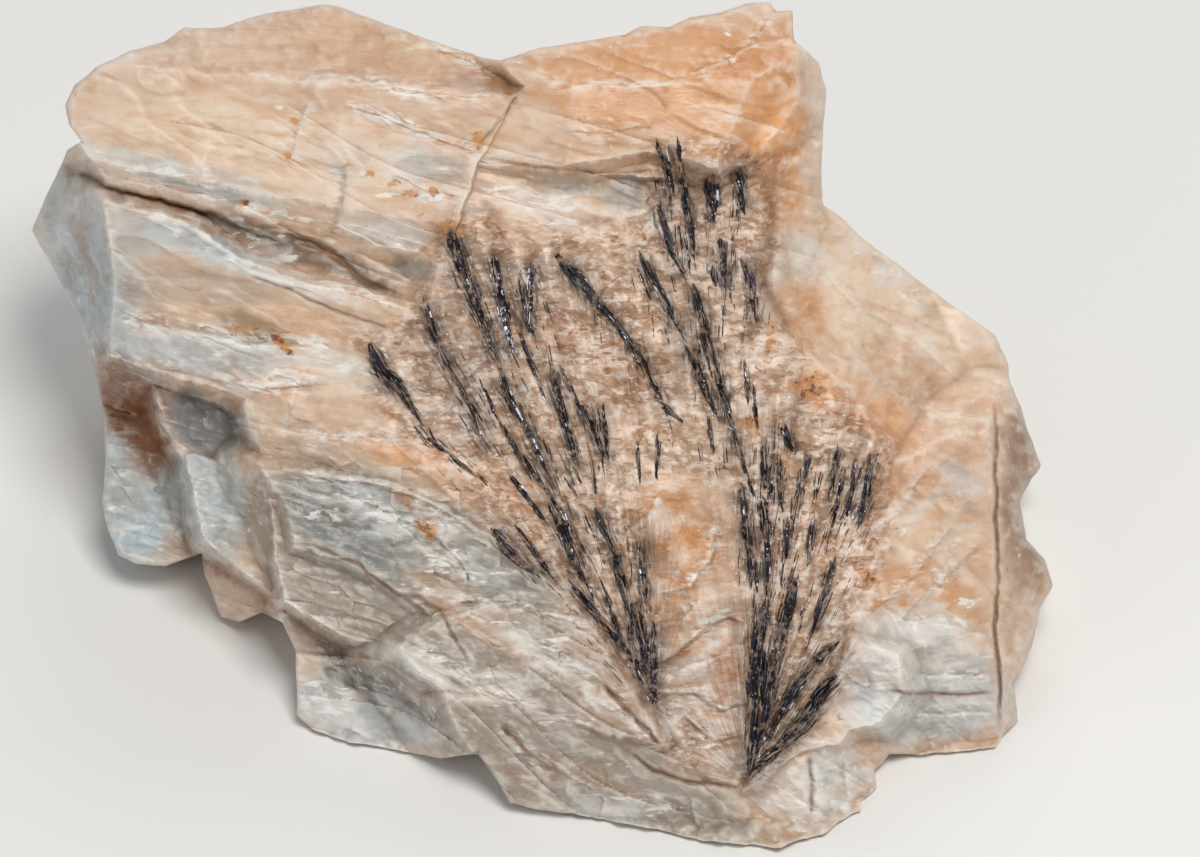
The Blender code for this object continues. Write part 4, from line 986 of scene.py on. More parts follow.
def back_depth(u, v):
    """The rock's back: the nearest of the base and the broken planes, with steps and chips."""
    base = base_depth(v)
    depth = base
    for plane in BACK_PLANES:
        depth = np.minimum(depth, plane_depth(u, v, [plane]))
    bent_u, bent_v = bent(u, v, 0.5, 3.0, (201, 203))
    for corners, planes in BACK_STEPS.values():
        away = np.maximum(outside(bent_u, bent_v, corners), 0.0)
        depth = np.minimum(depth, plane_depth(u, v, planes) + WALL_SLOPE * away)
    clear = ease((base - depth) / 1.5)
    big = chips(u, v, 5.5, 0.16, 211, angle=-0.4, stretch=1.8)
    middle = chips(u, v, 2.1, 0.15, 223, angle=-0.4, stretch=2.2)
    small = chips(u, v, 0.8, 0.15, 227, angle=-0.4, stretch=2.0)
    across = across_layers(u, v)
    inward = 0.4 + 0.5 * rough(u, v, 7.0, 229) + big + middle + small + layers(across, u, 3.1, 0.5, 233)
    return depth - clear * np.maximum(inward, 0.0)


def rim_points(count):
    """The outline as points round its centre, spaced half by their angle and half by their distance."""
    ring = np.array([*OUTLINE, OUTLINE[0]])[::-1]
    runs = np.concatenate([[0.0], np.cumsum(np.hypot(*np.diff(ring, axis=0).T))])
    run = np.linspace(0, runs[-1], RIM_SAMPLES + 1)[:-1]
    points = np.stack([np.interp(run, runs, ring[:, axis]) for axis in (0, 1)], axis=1)
    lay = 1 + 0.10 * rough(points[:, 0], points[:, 1], 1.1, 301, 4) / 20
    points = (points - CENTRE) * lay[:, None]
    corner = np.argmin(np.abs(np.arctan2(points[:, 1], points[:, 0]) - FIRST_CORNER))
    points = np.roll(points, -corner, axis=0)
    angle = np.unwrap(np.arctan2(points[:, 1], points[:, 0]))
    place = 0.5 * (angle - angle[0]) / (2 * math.pi) + 0.5 * np.linspace(0, 1, RIM_SAMPLES + 1)[:-1]
    place = np.maximum.accumulate(place)
    even = np.arange(count) / count
    return np.stack([np.interp(even, place, points[:, axis]) for axis in (0, 1)], axis=1)


def square_fan(cells):
    """A disc drawn as a square: each point lies its square ring's share of the way to the rim.

    How far round the square's edge it lies, counted from the lower left corner, gives the rim's point.
    Further in the rim is drawn smoother, so that its notches do not run on to the centre.
    """
    s, t = np.meshgrid(np.linspace(-1, 1, cells + 1), np.linspace(-1, 1, cells + 1))
    s, t = s.ravel(), t.ravel()
    share = np.maximum(np.abs(s), np.abs(t))
    across, up = s / np.maximum(share, 1e-9), t / np.maximum(share, 1e-9)
    turn = np.select([up <= -1 + 1e-9, across >= 1 - 1e-9, up >= 1 - 1e-9],
                     [across + 1, up + 3, 5 - across], 7 - up) / 8 % 1.0
    count = 4 * cells
    rim = rim_points(count)
    reach = count // 24
    inner = np.mean([np.roll(rim, step, axis=0) for step in range(-reach, reach + 1)], axis=0)
    even = np.arange(count + 1) / count
    true = np.stack([np.interp(turn, even, np.append(rim[:, axis], rim[0, axis])) for axis in (0, 1)])
    smooth = np.stack([np.interp(turn, even, np.append(inner[:, axis], inner[0, axis])) for axis in (0, 1)])
    u, v = np.reshape(CENTRE, (2, 1)) + share * (smooth + ease((share - 0.4) / 0.6) * (true - smooth))
    return u, v, (1 - share) * np.hypot(*true)


def square_ring(cells):
    """The square's rim as vertex numbers, once round, counter-clockwise from its lower left corner."""
    row = np.arange(cells)
    width = cells + 1
    return np.concatenate([row, cells + row * width, cells * width + cells - row, (cells - row) * width])


def square_quads(cells, first):
    """The square's cells as quads that look towards the viewer."""
    i, j = np.meshgrid(np.arange(cells), np.arange(cells))
    low = (j * (cells + 1) + i).ravel() + first
    return np.stack([low, low + 1, low + cells + 2, low + cells + 1], axis=1)


def rounded(edge, reach):
    """A quarter round off an edge: 0 farther in than its reach, the reach itself at the very edge."""
    x = np.clip(1 - edge / reach, 0, 1)
    return reach * (1 - np.sqrt(1 - x * x))


def rock_surface(cells, rows):
    """The whole closed rock: a fine front, rows of wall round the outline, and a back half as fine."""
    u, v, edge = square_fan(cells)
    reach = 0.45 + 0.3 * rough(u, v, 2.0, 311)
    lowest = base_depth(v) - 0.35 - 0.7 * np.abs(rough(u, v, 1.1, 317))
    front = np.minimum(front_depth(u, v) + rounded(edge, reach), lowest)
    points = [world(u, v, front)]
    quads = [square_quads(cells, 0)]

    ring = square_ring(cells)
    rim_u, rim_v, rim_front = u[ring], v[ring], front[ring]
    rim_back = np.maximum(back_depth(rim_u, rim_v), rim_front + THINNEST)
    out_u, out_v = rim_u - CENTRE[0], rim_v - CENTRE[1]
    far = np.hypot(out_u, out_v)
    arc = np.cumsum(np.hypot(np.diff(rim_u, append=rim_u[0]), np.diff(rim_v, append=rim_v[0])))
    deep = rim_back - rim_front
    base = base_depth(rim_v)
    share = (np.arange(1, rows) / rows)[:, None]
    d = rim_front + deep * share
    arcs = np.broadcast_to(arc, d.shape)
    window = ease(share * deep / 1.5) * ease((1 - share) * deep / 1.5)
    big = chips(arcs, d, 3.4, 0.22, 321, angle=0.5, stretch=1.7)
    middle = chips(arcs, d, 1.3, 0.22, 323, angle=0.5, stretch=1.8)
    inward = 0.5 + 0.4 * rough(arcs, d, 4.0, 331) + big + middle
    inward = np.mean([np.roll(inward, step, axis=1) for step in range(-7, 8)], axis=0)
    pull = 1 - window * np.maximum(inward, 0.0) / far
    wall = world(CENTRE[0] + out_u * pull, CENTRE[1] + out_v * pull, np.minimum(d, base))
    points.append(wall.reshape(-1, 3))

    count = len(ring)
    first_wall = len(u)
    ids = np.concatenate([ring[None, :], first_wall + np.arange((rows - 1) * count).reshape(rows - 1, count)])
    nxt = np.roll(ids, -1, axis=1)
    quads.append(np.stack([ids[1:], nxt[1:], nxt[:-1], ids[:-1]], axis=-1).reshape(-1, 4))

    half = cells // 2
    back_u, back_v, _ = square_fan(half)
    back = np.maximum(back_depth(back_u, back_v), front_depth(back_u, back_v) + THINNEST)
    back_ring = square_ring(half)
    back[back_ring] = rim_back[::2]
    first_back = first_wall + (rows - 1) * count
    points.append(world(back_u, back_v, back))
    quads.append(square_quads(half, first_back)[:, ::-1])

    coarse = first_back + back_ring
    even, odd, even_next = ids[-1][0::2], ids[-1][1::2], np.roll(ids[-1][0::2], -1)
    coarse_next = np.roll(coarse, -1)
    triangles = np.concatenate([
        np.stack(corners, axis=1)
        for corners in ((even, coarse, odd), (odd, coarse, coarse_next), (odd, coarse_next, even_next))])
    points = np.concatenate(points)
    points[:, 2] = np.maximum(points[:, 2], 0.0)
    return points, np.concatenate(quads), triangles


def thinned(obj, most):
    """Collapse the least needed edges until the mesh has at most so many triangles."""
    obj.data.calc_loop_triangles()
    modifier = obj.modifiers.new("thinned", "DECIMATE")
    modifier.ratio = min(1.0, most / len(obj.data.loop_triangles))
    graph = bpy.context.evaluated_depsgraph_get()
    mesh = bpy.data.meshes.new_from_object(obj.evaluated_get(graph))
    obj.modifiers.clear()
    old = obj.data
    obj.data = mesh
    bpy.data.meshes.remove(old)
    mesh.name = obj.name


def bending(mesh, points, rounds):
    """How far each vertex stands proud of its neighbours' mean along its normal, smoothed in rounds."""
    ends = np.empty(len(mesh.edges) * 2, np.int32)
    mesh.edges.foreach_get("vertices", ends)
    a, b = ends.reshape(-1, 2).T
    count = len(points)
    degree = np.bincount(a, minlength=count) + np.bincount(b, minlength=count)
    normals = np.empty(count * 3, np.float32)
    mesh.vertex_normals.foreach_get("vector", normals)
    normals = normals.reshape(-1, 3)

    def mean(values):
        return (np.bincount(a, values[b], count) + np.bincount(b, values[a], count)) / degree

    smooth = points.T
    for _ in range(rounds):
        smooth = np.stack([mean(row) for row in smooth])
    return ((points.T - smooth) * normals.T).sum(axis=0) / MM


# ---------------------------------------------------------------- colours and wear as attributes
def toward(colour, share, tint):
    """Move an array of colours towards a tint by a share for each vertex: c + share (tint - c)."""
    return colour + share[..., None] * (tint - colour)


def tint_field(u, v):
    """The rock's broad colour: zones of tint laid over one another, each an ellipse with a torn edge. Some
    zones are painted shade, shadow or glow.
    """
    bent_u = u + 0.9 * rough(u, v, 2.2, 401)
    bent_v = v + 0.5 * rough(u, v, 1.6, 409)
    colour = np.broadcast_to(np.array(TINTS["tan"]), (*u.shape, 3)).copy()
    colour = toward(colour, bed_share(bent_u, bent_v) * 0.62, np.array(TINTS["sand"]) * 0.86)
    for tint, centre_u, centre_v, wide, tall, turn, strength in ZONES:
        share = blob(bent_u, bent_v, centre_u, centre_v, wide * 1.25, tall * 1.25, turn)
        colour = toward(colour, strength * ease(share * 1.6), np.array(TINTS[tint]))
    return colour


def side_share(u, v, d):
    """0 on the front and a little way down the rock's sides, then easing to 0.65."""
    return 0.65 * (1 - ease((slab_depth(u, v) + SIDE_FULL - d) / 3.0))


def side_tint(u, v, d):
    """The sides' own colour, between pale and stone by noise that runs on round the rock."""
    pale, stone = np.array(TINTS["pale"]), np.array(TINTS["stone"])
    share = ease(0.5 + 0.6 * rough(u + d, v - d, 4.0, 461))[..., None]
    return share * pale + (1 - share) * stone


def patch_field(u, v, patches, torn, size):
    """The strongest of a list of patches, each an ellipse whose outline is torn by noise."""
    bent_u, bent_v = bent(u, v, torn, size, (421, 431))
    field = np.zeros(u.shape)
    for centre_u, centre_v, wide, tall, turn, strength in patches:
        share = blob(bent_u, bent_v, centre_u, centre_v, wide * 1.4, tall * 1.4, turn)
        field = np.maximum(field, strength * share)
    return field


def crack_share(u, v):
    """1 in the cracks, falling away with the square of the distance; the deepest are the darkest."""
    bent_u, bent_v = bent(u, v, *LINE_BEND)
    field = np.zeros(u.shape)
    for path, deep, wide in CRACKS:
        here = near_box(bent_u, bent_v, path, 1.5)
        gap, share = along_line(bent_u[here], bent_v[here], path)
        line = np.exp(-(gap / (0.10 + 0.5 * wide)) ** 2) * taper(share, 0.15)
        field[here] = np.maximum(field[here], line * min(0.85, 0.35 + 3.0 * deep))
    return field


def near_crystals(u, v, share_of_width, reach, fade):
    """1 on a crystal's path, falling away with distance: the exponential of the distance over a reach.

    It fades by a share right at the path's start, and towards its end as the crystal's look leans.
    """
    near = np.zeros(u.shape)
    for node, rods in SPRAYS.items():
        thins = 1.0 - 1.0 / LOOKS.get(node, USUAL_LOOK)[2]
        for width, path in rods:
            gap, share = along_line(u, v, path)
            kept = (1 - fade * (1 - ease(share / 0.08))) * (1 - thins * ease(1.6 * share))
            near = np.maximum(near, kept * np.exp(-np.abs(gap) / (reach + share_of_width * width)))
    return near


def around_foot(u, v, foot):
    """The angle and the distance round a fan's foot, scaled for noise that runs out along its lines."""
    return 12 * np.arctan2(u - foot[0], v - foot[1]), 0.1 * np.hypot(u - foot[0], v - foot[1])


# A mask for painted shade in hollows and under overhangs.
def sunk_share(u, v):
    """How far a place lies below the slabs round it: its depth less half their mean depth, twice over."""
    shade = np.minimum(slab_depth(u, v), DEEPEST)
    shade = shade - around(u, v, 1.1, 6) * 0.5 - around(u, v + 0.9, 0.9, 6, 0.5) * 0.5
    share = ease((shade - 0.15) / 2.2)
    for centre_u, centre_v, wide, tall, strength in OPEN_PLACES:
        share = share * (1 - strength * ease(2 * blob(u, v, centre_u, centre_v, wide, tall)))
    return share


def dress_rock(mesh):
    """Work out the colour, stain, grime, wear, painted shade and painted highlight of every vertex and keep
    them as attributes.
    """
    points = vertex_points(mesh)
    u, v, d = face(points)
    on_front = ease((slab_depth(u, v) + FRONT_REACH - d) / 1.0)
    colour = toward(tint_field(u, v), side_share(u, v, d), side_tint(u, v, d))
    layer = mesh.attributes.new("tint", "FLOAT_COLOR", "POINT")
    colour = np.concatenate([colour, np.ones((len(u), 1))], axis=1)
    layer.data.foreach_set("color", colour.astype(np.float32).ravel())

    bed, wedge = bed_share(u, v), wedge_share(u, v)
    light = 1
    for centre_u, centre_v, wide, tall, strength in CLEAN_PLACES:
        light = light - strength * blob(u, v, centre_u, centre_v, wide, tall)
    bent_u, bent_v = u + 0.2 * rough(u, v, 0.9, 443), v + 0.3 * rough(u, v, 0.9, 449)
    fronts = {
        "stain": patch_field(u, v, STAINS, 0.5, 0.9),
        "milk": ease(1.3 * patch_field(u, v, MILK, 0.9, 2.0)),
        "bed": bed,
        "crack": crack_share(u, v),
        "grains": bed * (1 - 0.75 * wedge),
        "torn": torn_share(u, v) * (1 - bed * (1 - wedge)),
        "grime": near_crystals(bent_u, bent_v, 0.5, 0.20, 0.8) * (0.4 + 0.6 * light),
        "dusk": near_crystals(u, v, 1.0, 1.5, 0.0) * bed * light,
        "sunk": sunk_share(u, v),
    }
    for name, values in fronts.items():
        store(mesh, name, values * on_front)
    store_vectors(mesh, "left_fan", *around_foot(u, v, LEFT_APEX))
    store_vectors(mesh, "right_fan", *around_foot(u, v, RIGHT_APEX))
    store(mesh, "right_side", fan_share(u, v))
    # Convex edges are painted paler (partly wear, partly painted highlight), concave ones darker (painted
    # shade).
    fine, coarse = bending(mesh, points, 2), bending(mesh, points, 12)
    store(mesh, "edge", ease(fine * 20.0) * 0.6 + ease(coarse * 5.0) * 0.4)
    store(mesh, "crevice", ease(-fine * 20.0) * 0.35 + ease(-coarse * 4.5) * 0.65)


# ---------------------------------------------------------------- materials
class Shader:
    """Short calls for building one material's node tree."""

    def __init__(self, name):
        self.material = bpy.data.materials.new(name)
        self.material.use_nodes = True
        self.tree = self.material.node_tree
        self.principled = self.tree.nodes["Principled BSDF"]

    def node(self, kind, inputs=None, **settings):
        made = self.tree.nodes.new(kind)
        for key, value in settings.items():
            setattr(made, key, value)
        for key, value in (inputs or {}).items():
            self.feed(made.inputs[key], value)
        return made

    def feed(self, socket, value):
        if isinstance(value, bpy.types.NodeSocket):
            self.tree.links.new(value, socket)
        else:
            socket.default_value = value

    def set(self, **values):
        for key, value in values.items():
            self.feed(self.principled.inputs[key.replace("_", " ")], value)

    def attribute(self, name, output="Fac"):
        return self.node("ShaderNodeAttribute", attribute_name=name).outputs[output]

    def place(self, scale=(1.0, 1.0, 1.0), turn=(0.0, 0.0, 0.0)):
        """Object coordinates, turned and stretched."""
        where = self.node("ShaderNodeTexCoord").outputs["Object"]
        inputs = {"Vector": where, "Rotation": turn, "Scale": scale}
        return self.node("ShaderNodeMapping", inputs).outputs["Vector"]

    def laid(self, *scale):
        """Object coordinates stretched along the feldspar's layers, which dip to the right."""
        return self.place(scale, (0.0, DIP, 0.0))

    def warped(self, where, scale, reach):
        """Coordinates pushed about by noise, so that what is drawn on them has ragged borders."""
        push = self.node("ShaderNodeTexNoise", {"Scale": scale, "Detail": 3.0, "Vector": where})
        inputs = {0: push.outputs["Color"], 1: (reach, reach, reach)}
        push = self.node("ShaderNodeVectorMath", inputs, operation="MULTIPLY").outputs[0]
        return self.node("ShaderNodeVectorMath", {0: where, 1: push}, operation="ADD").outputs[0]

    def noise(self, scale, detail=5.0, roughness=0.6, where=None, distortion=0.0):
        inputs = {"Scale": scale, "Detail": detail, "Roughness": roughness, "Distortion": distortion}
        inputs["Vector"] = where or self.place()
        return self.node("ShaderNodeTexNoise", inputs).outputs["Fac"]

    def spots(self, scale, size, rare):
        """White dots: where a scatter's nearest point is near and its cell's random colour is light."""
        cells = self.node("ShaderNodeTexVoronoi", {"Scale": scale, "Vector": self.place()})
        near = self.ranged(cells.outputs["Distance"], size, size * 0.6)
        return self.times(near, self.calc("GREATER_THAN", cells.outputs["Color"], rare))

    def ranged(self, value, low, high, out_low=0.0, out_high=1.0):
        inputs = {"Value": value, "From Min": low, "From Max": high, "To Min": out_low, "To Max": out_high}
        return self.node("ShaderNodeMapRange", inputs, interpolation_type="SMOOTHSTEP").outputs["Result"]

    def calc(self, operation, first, second):
        made = self.node("ShaderNodeMath", operation=operation)
        for socket, value in zip(made.inputs, (first, second)):
            self.feed(socket, value)
        return made.outputs[0]

    def times(self, first, *others):
        """The product of some values."""
        for other in others:
            first = self.calc("MULTIPLY", first, other)
        return first

    def mix(self, share, first, second, blend="MIX"):
        made = self.node("ShaderNodeMix", data_type="RGBA", blend_type=blend)
        for socket, value in zip((made.inputs[0], made.inputs[6], made.inputs[7]), (share, first, second)):
            self.feed(socket, (*value, 1.0) if isinstance(value, tuple) and len(value) == 3 else value)
        return made.outputs[2]

    def coat(self, colour, tint, *shares):
        """Lay a tint over a colour by the product of some shares."""
        return self.mix(self.times(*shares), colour, tint)

    def wash(self, colour, tint, *shares):
        """Multiply a colour by a tint, by the product of some shares."""
        return self.mix(self.times(*shares), colour, self.mix(1.0, colour, tint, "MULTIPLY"))

    def bump(self, height, strength, distance, normal=None):
        inputs = {"Height": height, "Strength": strength, "Distance": distance}
        if normal:
            inputs["Normal"] = normal
        return self.node("ShaderNodeBump", inputs).outputs["Normal"]

    def rays(self, fan, scale):
        """Lines that run out from a fan's foot: noise that hardly changes along the radius."""
        return self.noise(scale, 4.0, 0.65, self.attribute(fan, "Vector"))


def clouded(s, slow):
    """The broad tints with their layers, clouds and flakes of opaque white, and grey veins."""
    milk = s.attribute("milk")
    layered = s.noise(330.0, 6.0, 0.62, s.laid(0.55, 2.2, 3.2), 0.25)
    colour = s.attribute("tint", "Color")
    colour = s.wash(colour, COATS["warm_wash"], s.ranged(slow, 0.38, 0.66, 0.0, 0.5))
    colour = s.wash(colour, COATS["layer_wash"], s.ranged(layered, 0.47, 0.64, 0.0, 0.70))
    colour = s.coat(colour, COATS["pale_layer"], s.ranged(layered, 0.45, 0.33, 0.0, 0.5))
    clouds = s.calc("ADD", s.noise(420.0, 7.0, 0.68, s.laid(0.8, 1.6, 1.9), 0.4), s.times(milk, 0.16))
    cloudy = s.ranged(milk, 0.0, 0.5, 0.10, 0.50)
    colour = s.coat(colour, COATS["cloud"], s.ranged(clouds, 0.56, 0.72), cloudy)
    flakes = s.calc("ADD", s.times(milk, 0.13), s.times(slow, 0.25))
    flakes = s.calc("ADD", s.noise(820.0, 5.0, 0.64, s.laid(0.5, 1.7, 2.2), 0.3), flakes)
    colour = s.coat(colour, COATS["flake"], s.ranged(flakes, 0.80, 0.85), 0.75)
    veins = s.ranged(s.noise(300.0, 4.0, 0.6, s.laid(0.7, 1.6, 2.0)), 0.50, 0.62)
    return s.coat(colour, COATS["vein"], veins, milk, 0.5)


def bedded(s, colour, bed, grains, tone):
    """The needles' bed: glassy, rusty and murky patches, then dark, light and cream grains."""
    glassy = s.ranged(s.noise(520.0, 5.0, 0.65), 0.47, 0.60)
    colour = s.coat(colour, COATS["glassy"], bed, glassy, 0.45)
    rusty = s.ranged(s.noise(270.0, 4.0, 0.6), 0.50, 0.64)
    colour = s.coat(colour, COATS["rusty"], bed, rusty, 0.60)
    murky = s.ranged(s.noise(760.0, 5.0, 0.7, s.place((1.0, 1.1, 1.2))), 0.50, 0.62)
    colour = s.coat(colour, COATS["murky"], grains, murky, 0.40)
    colour = s.coat(colour, COATS["dark_grain"], grains, s.ranged(tone, 0.44, 0.26, 0.0, 0.55))
    colour = s.coat(colour, COATS["light_grain"], grains, s.ranged(tone, 0.55, 0.74, 0.0, 0.65))
    cream = s.ranged(s.noise(2600.0, 4.0, 0.6, s.laid(0.8, 1.4, 1.6), 0.3), 0.56, 0.61)
    return s.coat(colour, COATS["cream"], grains, cream, 0.60)


def weathered_and_shaded(s, colour, edge_wear_and_highlight, fast):
    """Torn white lips, pale edges that are partly wear and partly painted highlight, painted shade in
    crevices and hollows, brown cracks, and iron stains.
    """
    streaks = s.ranged(s.noise(900.0, 5.0, 0.7, s.laid(0.7, 2.2, 3.4), 0.3), 0.46, 0.58)
    colour = s.coat(colour, COATS["torn"], streaks, s.attribute("torn"))
    colour = s.coat(colour, COATS["edge_wear_and_highlight"], edge_wear_and_highlight, 0.50)
    # Painted shade in crevices and hollows:
    colour = s.wash(colour, COATS["painted_crevice_shade"], s.attribute("crevice"), 0.45)
    colour = s.wash(colour, COATS["painted_hollow_shade"], s.attribute("sunk"), 0.6)
    colour = s.coat(colour, COATS["crack"], s.attribute("crack"), s.ranged(fast, 0.34, 0.52, 0.25, 0.85))
    stain = s.attribute("stain")
    ragged = s.calc("ADD", stain, s.times(s.noise(1400.0, 6.0, 0.72), 2.0))
    colour = s.coat(colour, COATS["stain"], s.ranged(ragged, 1.25, 1.85), s.ranged(stain, 0.05, 0.4), 0.8)
    flecks = s.times(s.ranged(s.noise(2100.0, 4.0, 0.6), 0.53, 0.60), s.ranged(ragged, 1.35, 1.7))
    return s.coat(colour, COATS["fleck"], flecks, s.ranged(stain, 0.05, 0.3), 0.85)


def dusted(s, colour, slow, fast):
    """The dark dust of the fans: brown patches and black lines that run out from each foot."""
    dusk, grime, side = s.attribute("dusk"), s.attribute("grime"), s.attribute("right_side")
    broad = s.mix(side, s.rays("left_fan", 2.2), s.rays("right_fan", 2.2))
    thin = s.mix(side, s.rays("left_fan", 9.0), s.rays("right_fan", 9.0))
    patches = s.ranged(s.calc("ADD", broad, s.times(dusk, 0.14)), 0.48, 0.62)
    colour = s.coat(colour, COATS["dusk"], patches, dusk, s.ranged(slow, 0.40, 0.55, 0.4, 1.0), 0.72)
    lines = s.times(s.ranged(thin, 0.46, 0.55), s.ranged(grime, 0.10, 0.45))
    colour = s.coat(colour, COATS["grime"], lines, s.ranged(fast, 0.36, 0.50, 0.35, 1.0), 0.92)
    dust = s.ranged(s.noise(1200.0, 5.0, 0.7), 0.38, 0.60, 0.15, 0.9)
    return s.coat(colour, COATS["dust"], grime, dust)


def feldspar_material():
    """Waxy feldspar: broad tints, clouds of opaque white, torn lips, rust, the dark dust of the fans, and
    painted shade, highlights and glints.
    """
    s = Shader("feldspar")
    slow, fast = s.noise(240.0, 5.0, 0.6), s.noise(1700.0, 5.0, 0.65)
    bed, grains = s.attribute("bed"), s.attribute("grains")
    where = s.warped(s.laid(0.6, 1.4, 1.7), 1100.0, 0.0030)
    tone = s.node("ShaderNodeTexVoronoi", {"Scale": 1250.0, "Vector": where}).outputs["Color"]
    # Convex edges made paler, partly wear and partly painted highlight; they are also made rougher.
    edge_wear_and_highlight = s.times(s.attribute("edge"), s.ranged(fast, 0.3, 0.6, 0.3, 1.0))
    colour = bedded(s, clouded(s, slow), bed, grains, tone)
    colour = dusted(s, weathered_and_shaded(s, colour, edge_wear_and_highlight, fast), slow, fast)
    # Painted glints: tiny white spots, most of them in the bed.
    colour = s.coat(colour, COATS["painted_sparkle"], s.spots(5200.0, 0.22, 0.86), s.ranged(bed, 0.0, 1.0, 0.10, 0.9))

    s.set(Base_Color=colour)
    s.set(Subsurface_Weight=0.28, Subsurface_Radius=(1.0, 0.6, 0.4), Subsurface_Scale=0.0013)
    s.set(Roughness=s.ranged(s.calc("ADD", fast, s.times(edge_wear_and_highlight, 0.4)), 0.3, 0.9, 0.26, 0.58))
    s.set(Specular_IOR_Level=0.5)
    blocks = s.bump(s.times(grains, tone), 0.5, 0.00016)
    fine = s.bump(s.noise(5200.0, 4.0, 0.7), 0.28, 0.00005, blocks)
    s.set(Normal=s.bump(s.noise(1300.0, 6.0, 0.7, s.laid(0.8, 2.0, 2.8)), 0.35, 0.00012, fine))
    return s.material


def kobeite_material(name, dark, painted_glint):
    """Black needles with a sub-metallic glint and painted glints: each its own shade, from black over brown
    to feldspar dust.
    """
    s = Shader(name)
    own = s.attribute("shade")
    grain = s.noise(2600.0, 4.0, 0.6)
    colour = dark
    for (low, high), tint in NEEDLE_SHADES.items():
        colour = s.coat(colour, tint, s.ranged(own, low, high))
    # Painted glints: the brightest needles take the glint colour in broken streaks, and spots of it lie on
    # all needles.
    bright = s.ranged(own, 0.90, 0.92)
    broken = s.ranged(s.noise(2300.0, 3.0, 0.6), 0.52, 0.57)
    colour = s.coat(colour, s.mix(broken, dark, painted_glint), bright)
    colour = s.coat(colour, painted_glint, s.spots(4300.0, 0.24, 0.70), 0.5)
    dust = s.times(s.ranged(s.noise(1900.0, 5.0, 0.7), 0.52, 0.62), s.ranged(own, 0.95, 0.6))
    colour = s.coat(colour, COATS["needle_dust"], dust, 0.8)
    sandy = s.times(s.ranged(own, 0.72, 0.80), s.ranged(own, 0.90, 0.88))
    dull = s.calc("MAXIMUM", dust, sandy)
    unlike_metal = s.calc("MAXIMUM", dull, s.times(bright, broken, 0.3))
    s.set(Base_Color=colour, Metallic=s.ranged(unlike_metal, 0.0, 0.5, 0.5, 0.0))
    s.set(Roughness=s.ranged(s.calc("ADD", grain, dull), 0.3, 1.0, 0.18, 0.60))
    s.set(Normal=s.bump(s.noise(6500.0, 3.0, 0.6), 0.55, 0.00004))
    return s.material


def matte_material(name, colour, roughness):
    """A plain stage finish with a faint unevenness."""
    s = Shader(name)
    darker = tuple(0.97 * part for part in colour)
    s.set(Base_Color=s.mix(s.noise(3.0, 3.0), colour, darker), Roughness=roughness)
    return s.material


# ---------------------------------------------------------------- the needles' shape
def on_path(path, share):
    """The point at each share of a broken line's length, and the line's direction there."""
    ring = np.array(path, float)
    starts = np.concatenate([[0.0], np.cumsum(np.hypot(*np.diff(ring, axis=0).T))])
    step = 0.04 * starts[-1]
    at = share * starts[-1]
    held = np.clip(at, step, starts[-1] - step)
    ahead = [np.interp(held + step, starts, ring[:, axis]) for axis in (0, 1)]
    behind = [np.interp(held - step, starts, ring[:, axis]) for axis in (0, 1)]
    du, dv = ahead[0] - behind[0], ahead[1] - behind[1]
    size = np.hypot(du, dv)
    du, dv = du / size, dv / size
    u = np.interp(held, starts, ring[:, 0]) + du * (at - held)
    v = np.interp(held, starts, ring[:, 1]) + dv * (at - held)
    return u, v, du, dv


def lie_down(u, v, rise):
    """Depths for straight needles: the rock's depth along each, mostly evened to a line, less the rise."""
    surface = front_depth(u, v)
    at = np.linspace(-1, 1, u.shape[1])
    middle = np.median(surface, axis=1, keepdims=True)
    slope = ((surface - middle) * at).sum(axis=1, keepdims=True) / (at * at).sum()
    line = middle + slope * at
    return 0.35 * surface + 0.65 * line - rise


def needle_mesh(u, v, d, radius, sides):
    """Tapered prisms with pointed ends: rings of sides round each needle's stations, closed by a point.

    Each needle is rolled by an angle of its own, so that its facets shine at different places.
    """
    count, stations = u.shape
    roll = np.random.default_rng(count).uniform(0, 2 * math.pi, count)[:, None, None, None]
    points = world(u, v, d) / MM
    along = np.gradient(points, axis=1)
    along /= np.linalg.norm(along, axis=2, keepdims=True)
    side = np.cross(along, OUTWARD)
    side /= np.linalg.norm(side, axis=2, keepdims=True)
    up = np.cross(side, along)
    angle = np.linspace(0, 2 * math.pi, sides, endpoint=False)[None, None, :, None] + roll
    girth = np.sqrt(np.sin(math.pi * (np.arange(stations) + 0.35) / (stations - 0.3)))
    spoke = np.cos(angle) * side[:, :, None] + np.sin(angle) * up[:, :, None]
    rings = points[:, :, None] + radius[:, None, None, None] * girth[None, :, None, None] * spoke
    tips = np.stack([points[:, 0] - along[:, 0] * radius[:, None] * 0.6,
                     points[:, -1] + along[:, -1] * radius[:, None] * 0.6], axis=1)
    per = stations * sides + 2
    vertices = np.concatenate([rings.reshape(count, -1, 3), tips], axis=1).reshape(-1, 3) * MM
    k, j = np.meshgrid(np.arange(stations - 1), np.arange(sides), indexing="ij")
    low, nxt = k * sides + j, k * sides + (j + 1) % sides
    quads = np.stack([low, low + sides, nxt + sides, nxt], axis=-1).reshape(-1, 4)
    j = np.arange(sides)
    last = (stations - 1) * sides
    first_tip, last_tip = per - 2 + 0 * j, per - 1 + 0 * j
    caps = np.concatenate([np.stack([first_tip, j, (j + 1) % sides], axis=1),
                           np.stack([last_tip, last + (j + 1) % sides, last + j], axis=1)])
    shift = (np.arange(count) * per)[:, None, None]
    return vertices, (quads + shift).reshape(-1, 4), (caps + shift).reshape(-1, 3), per


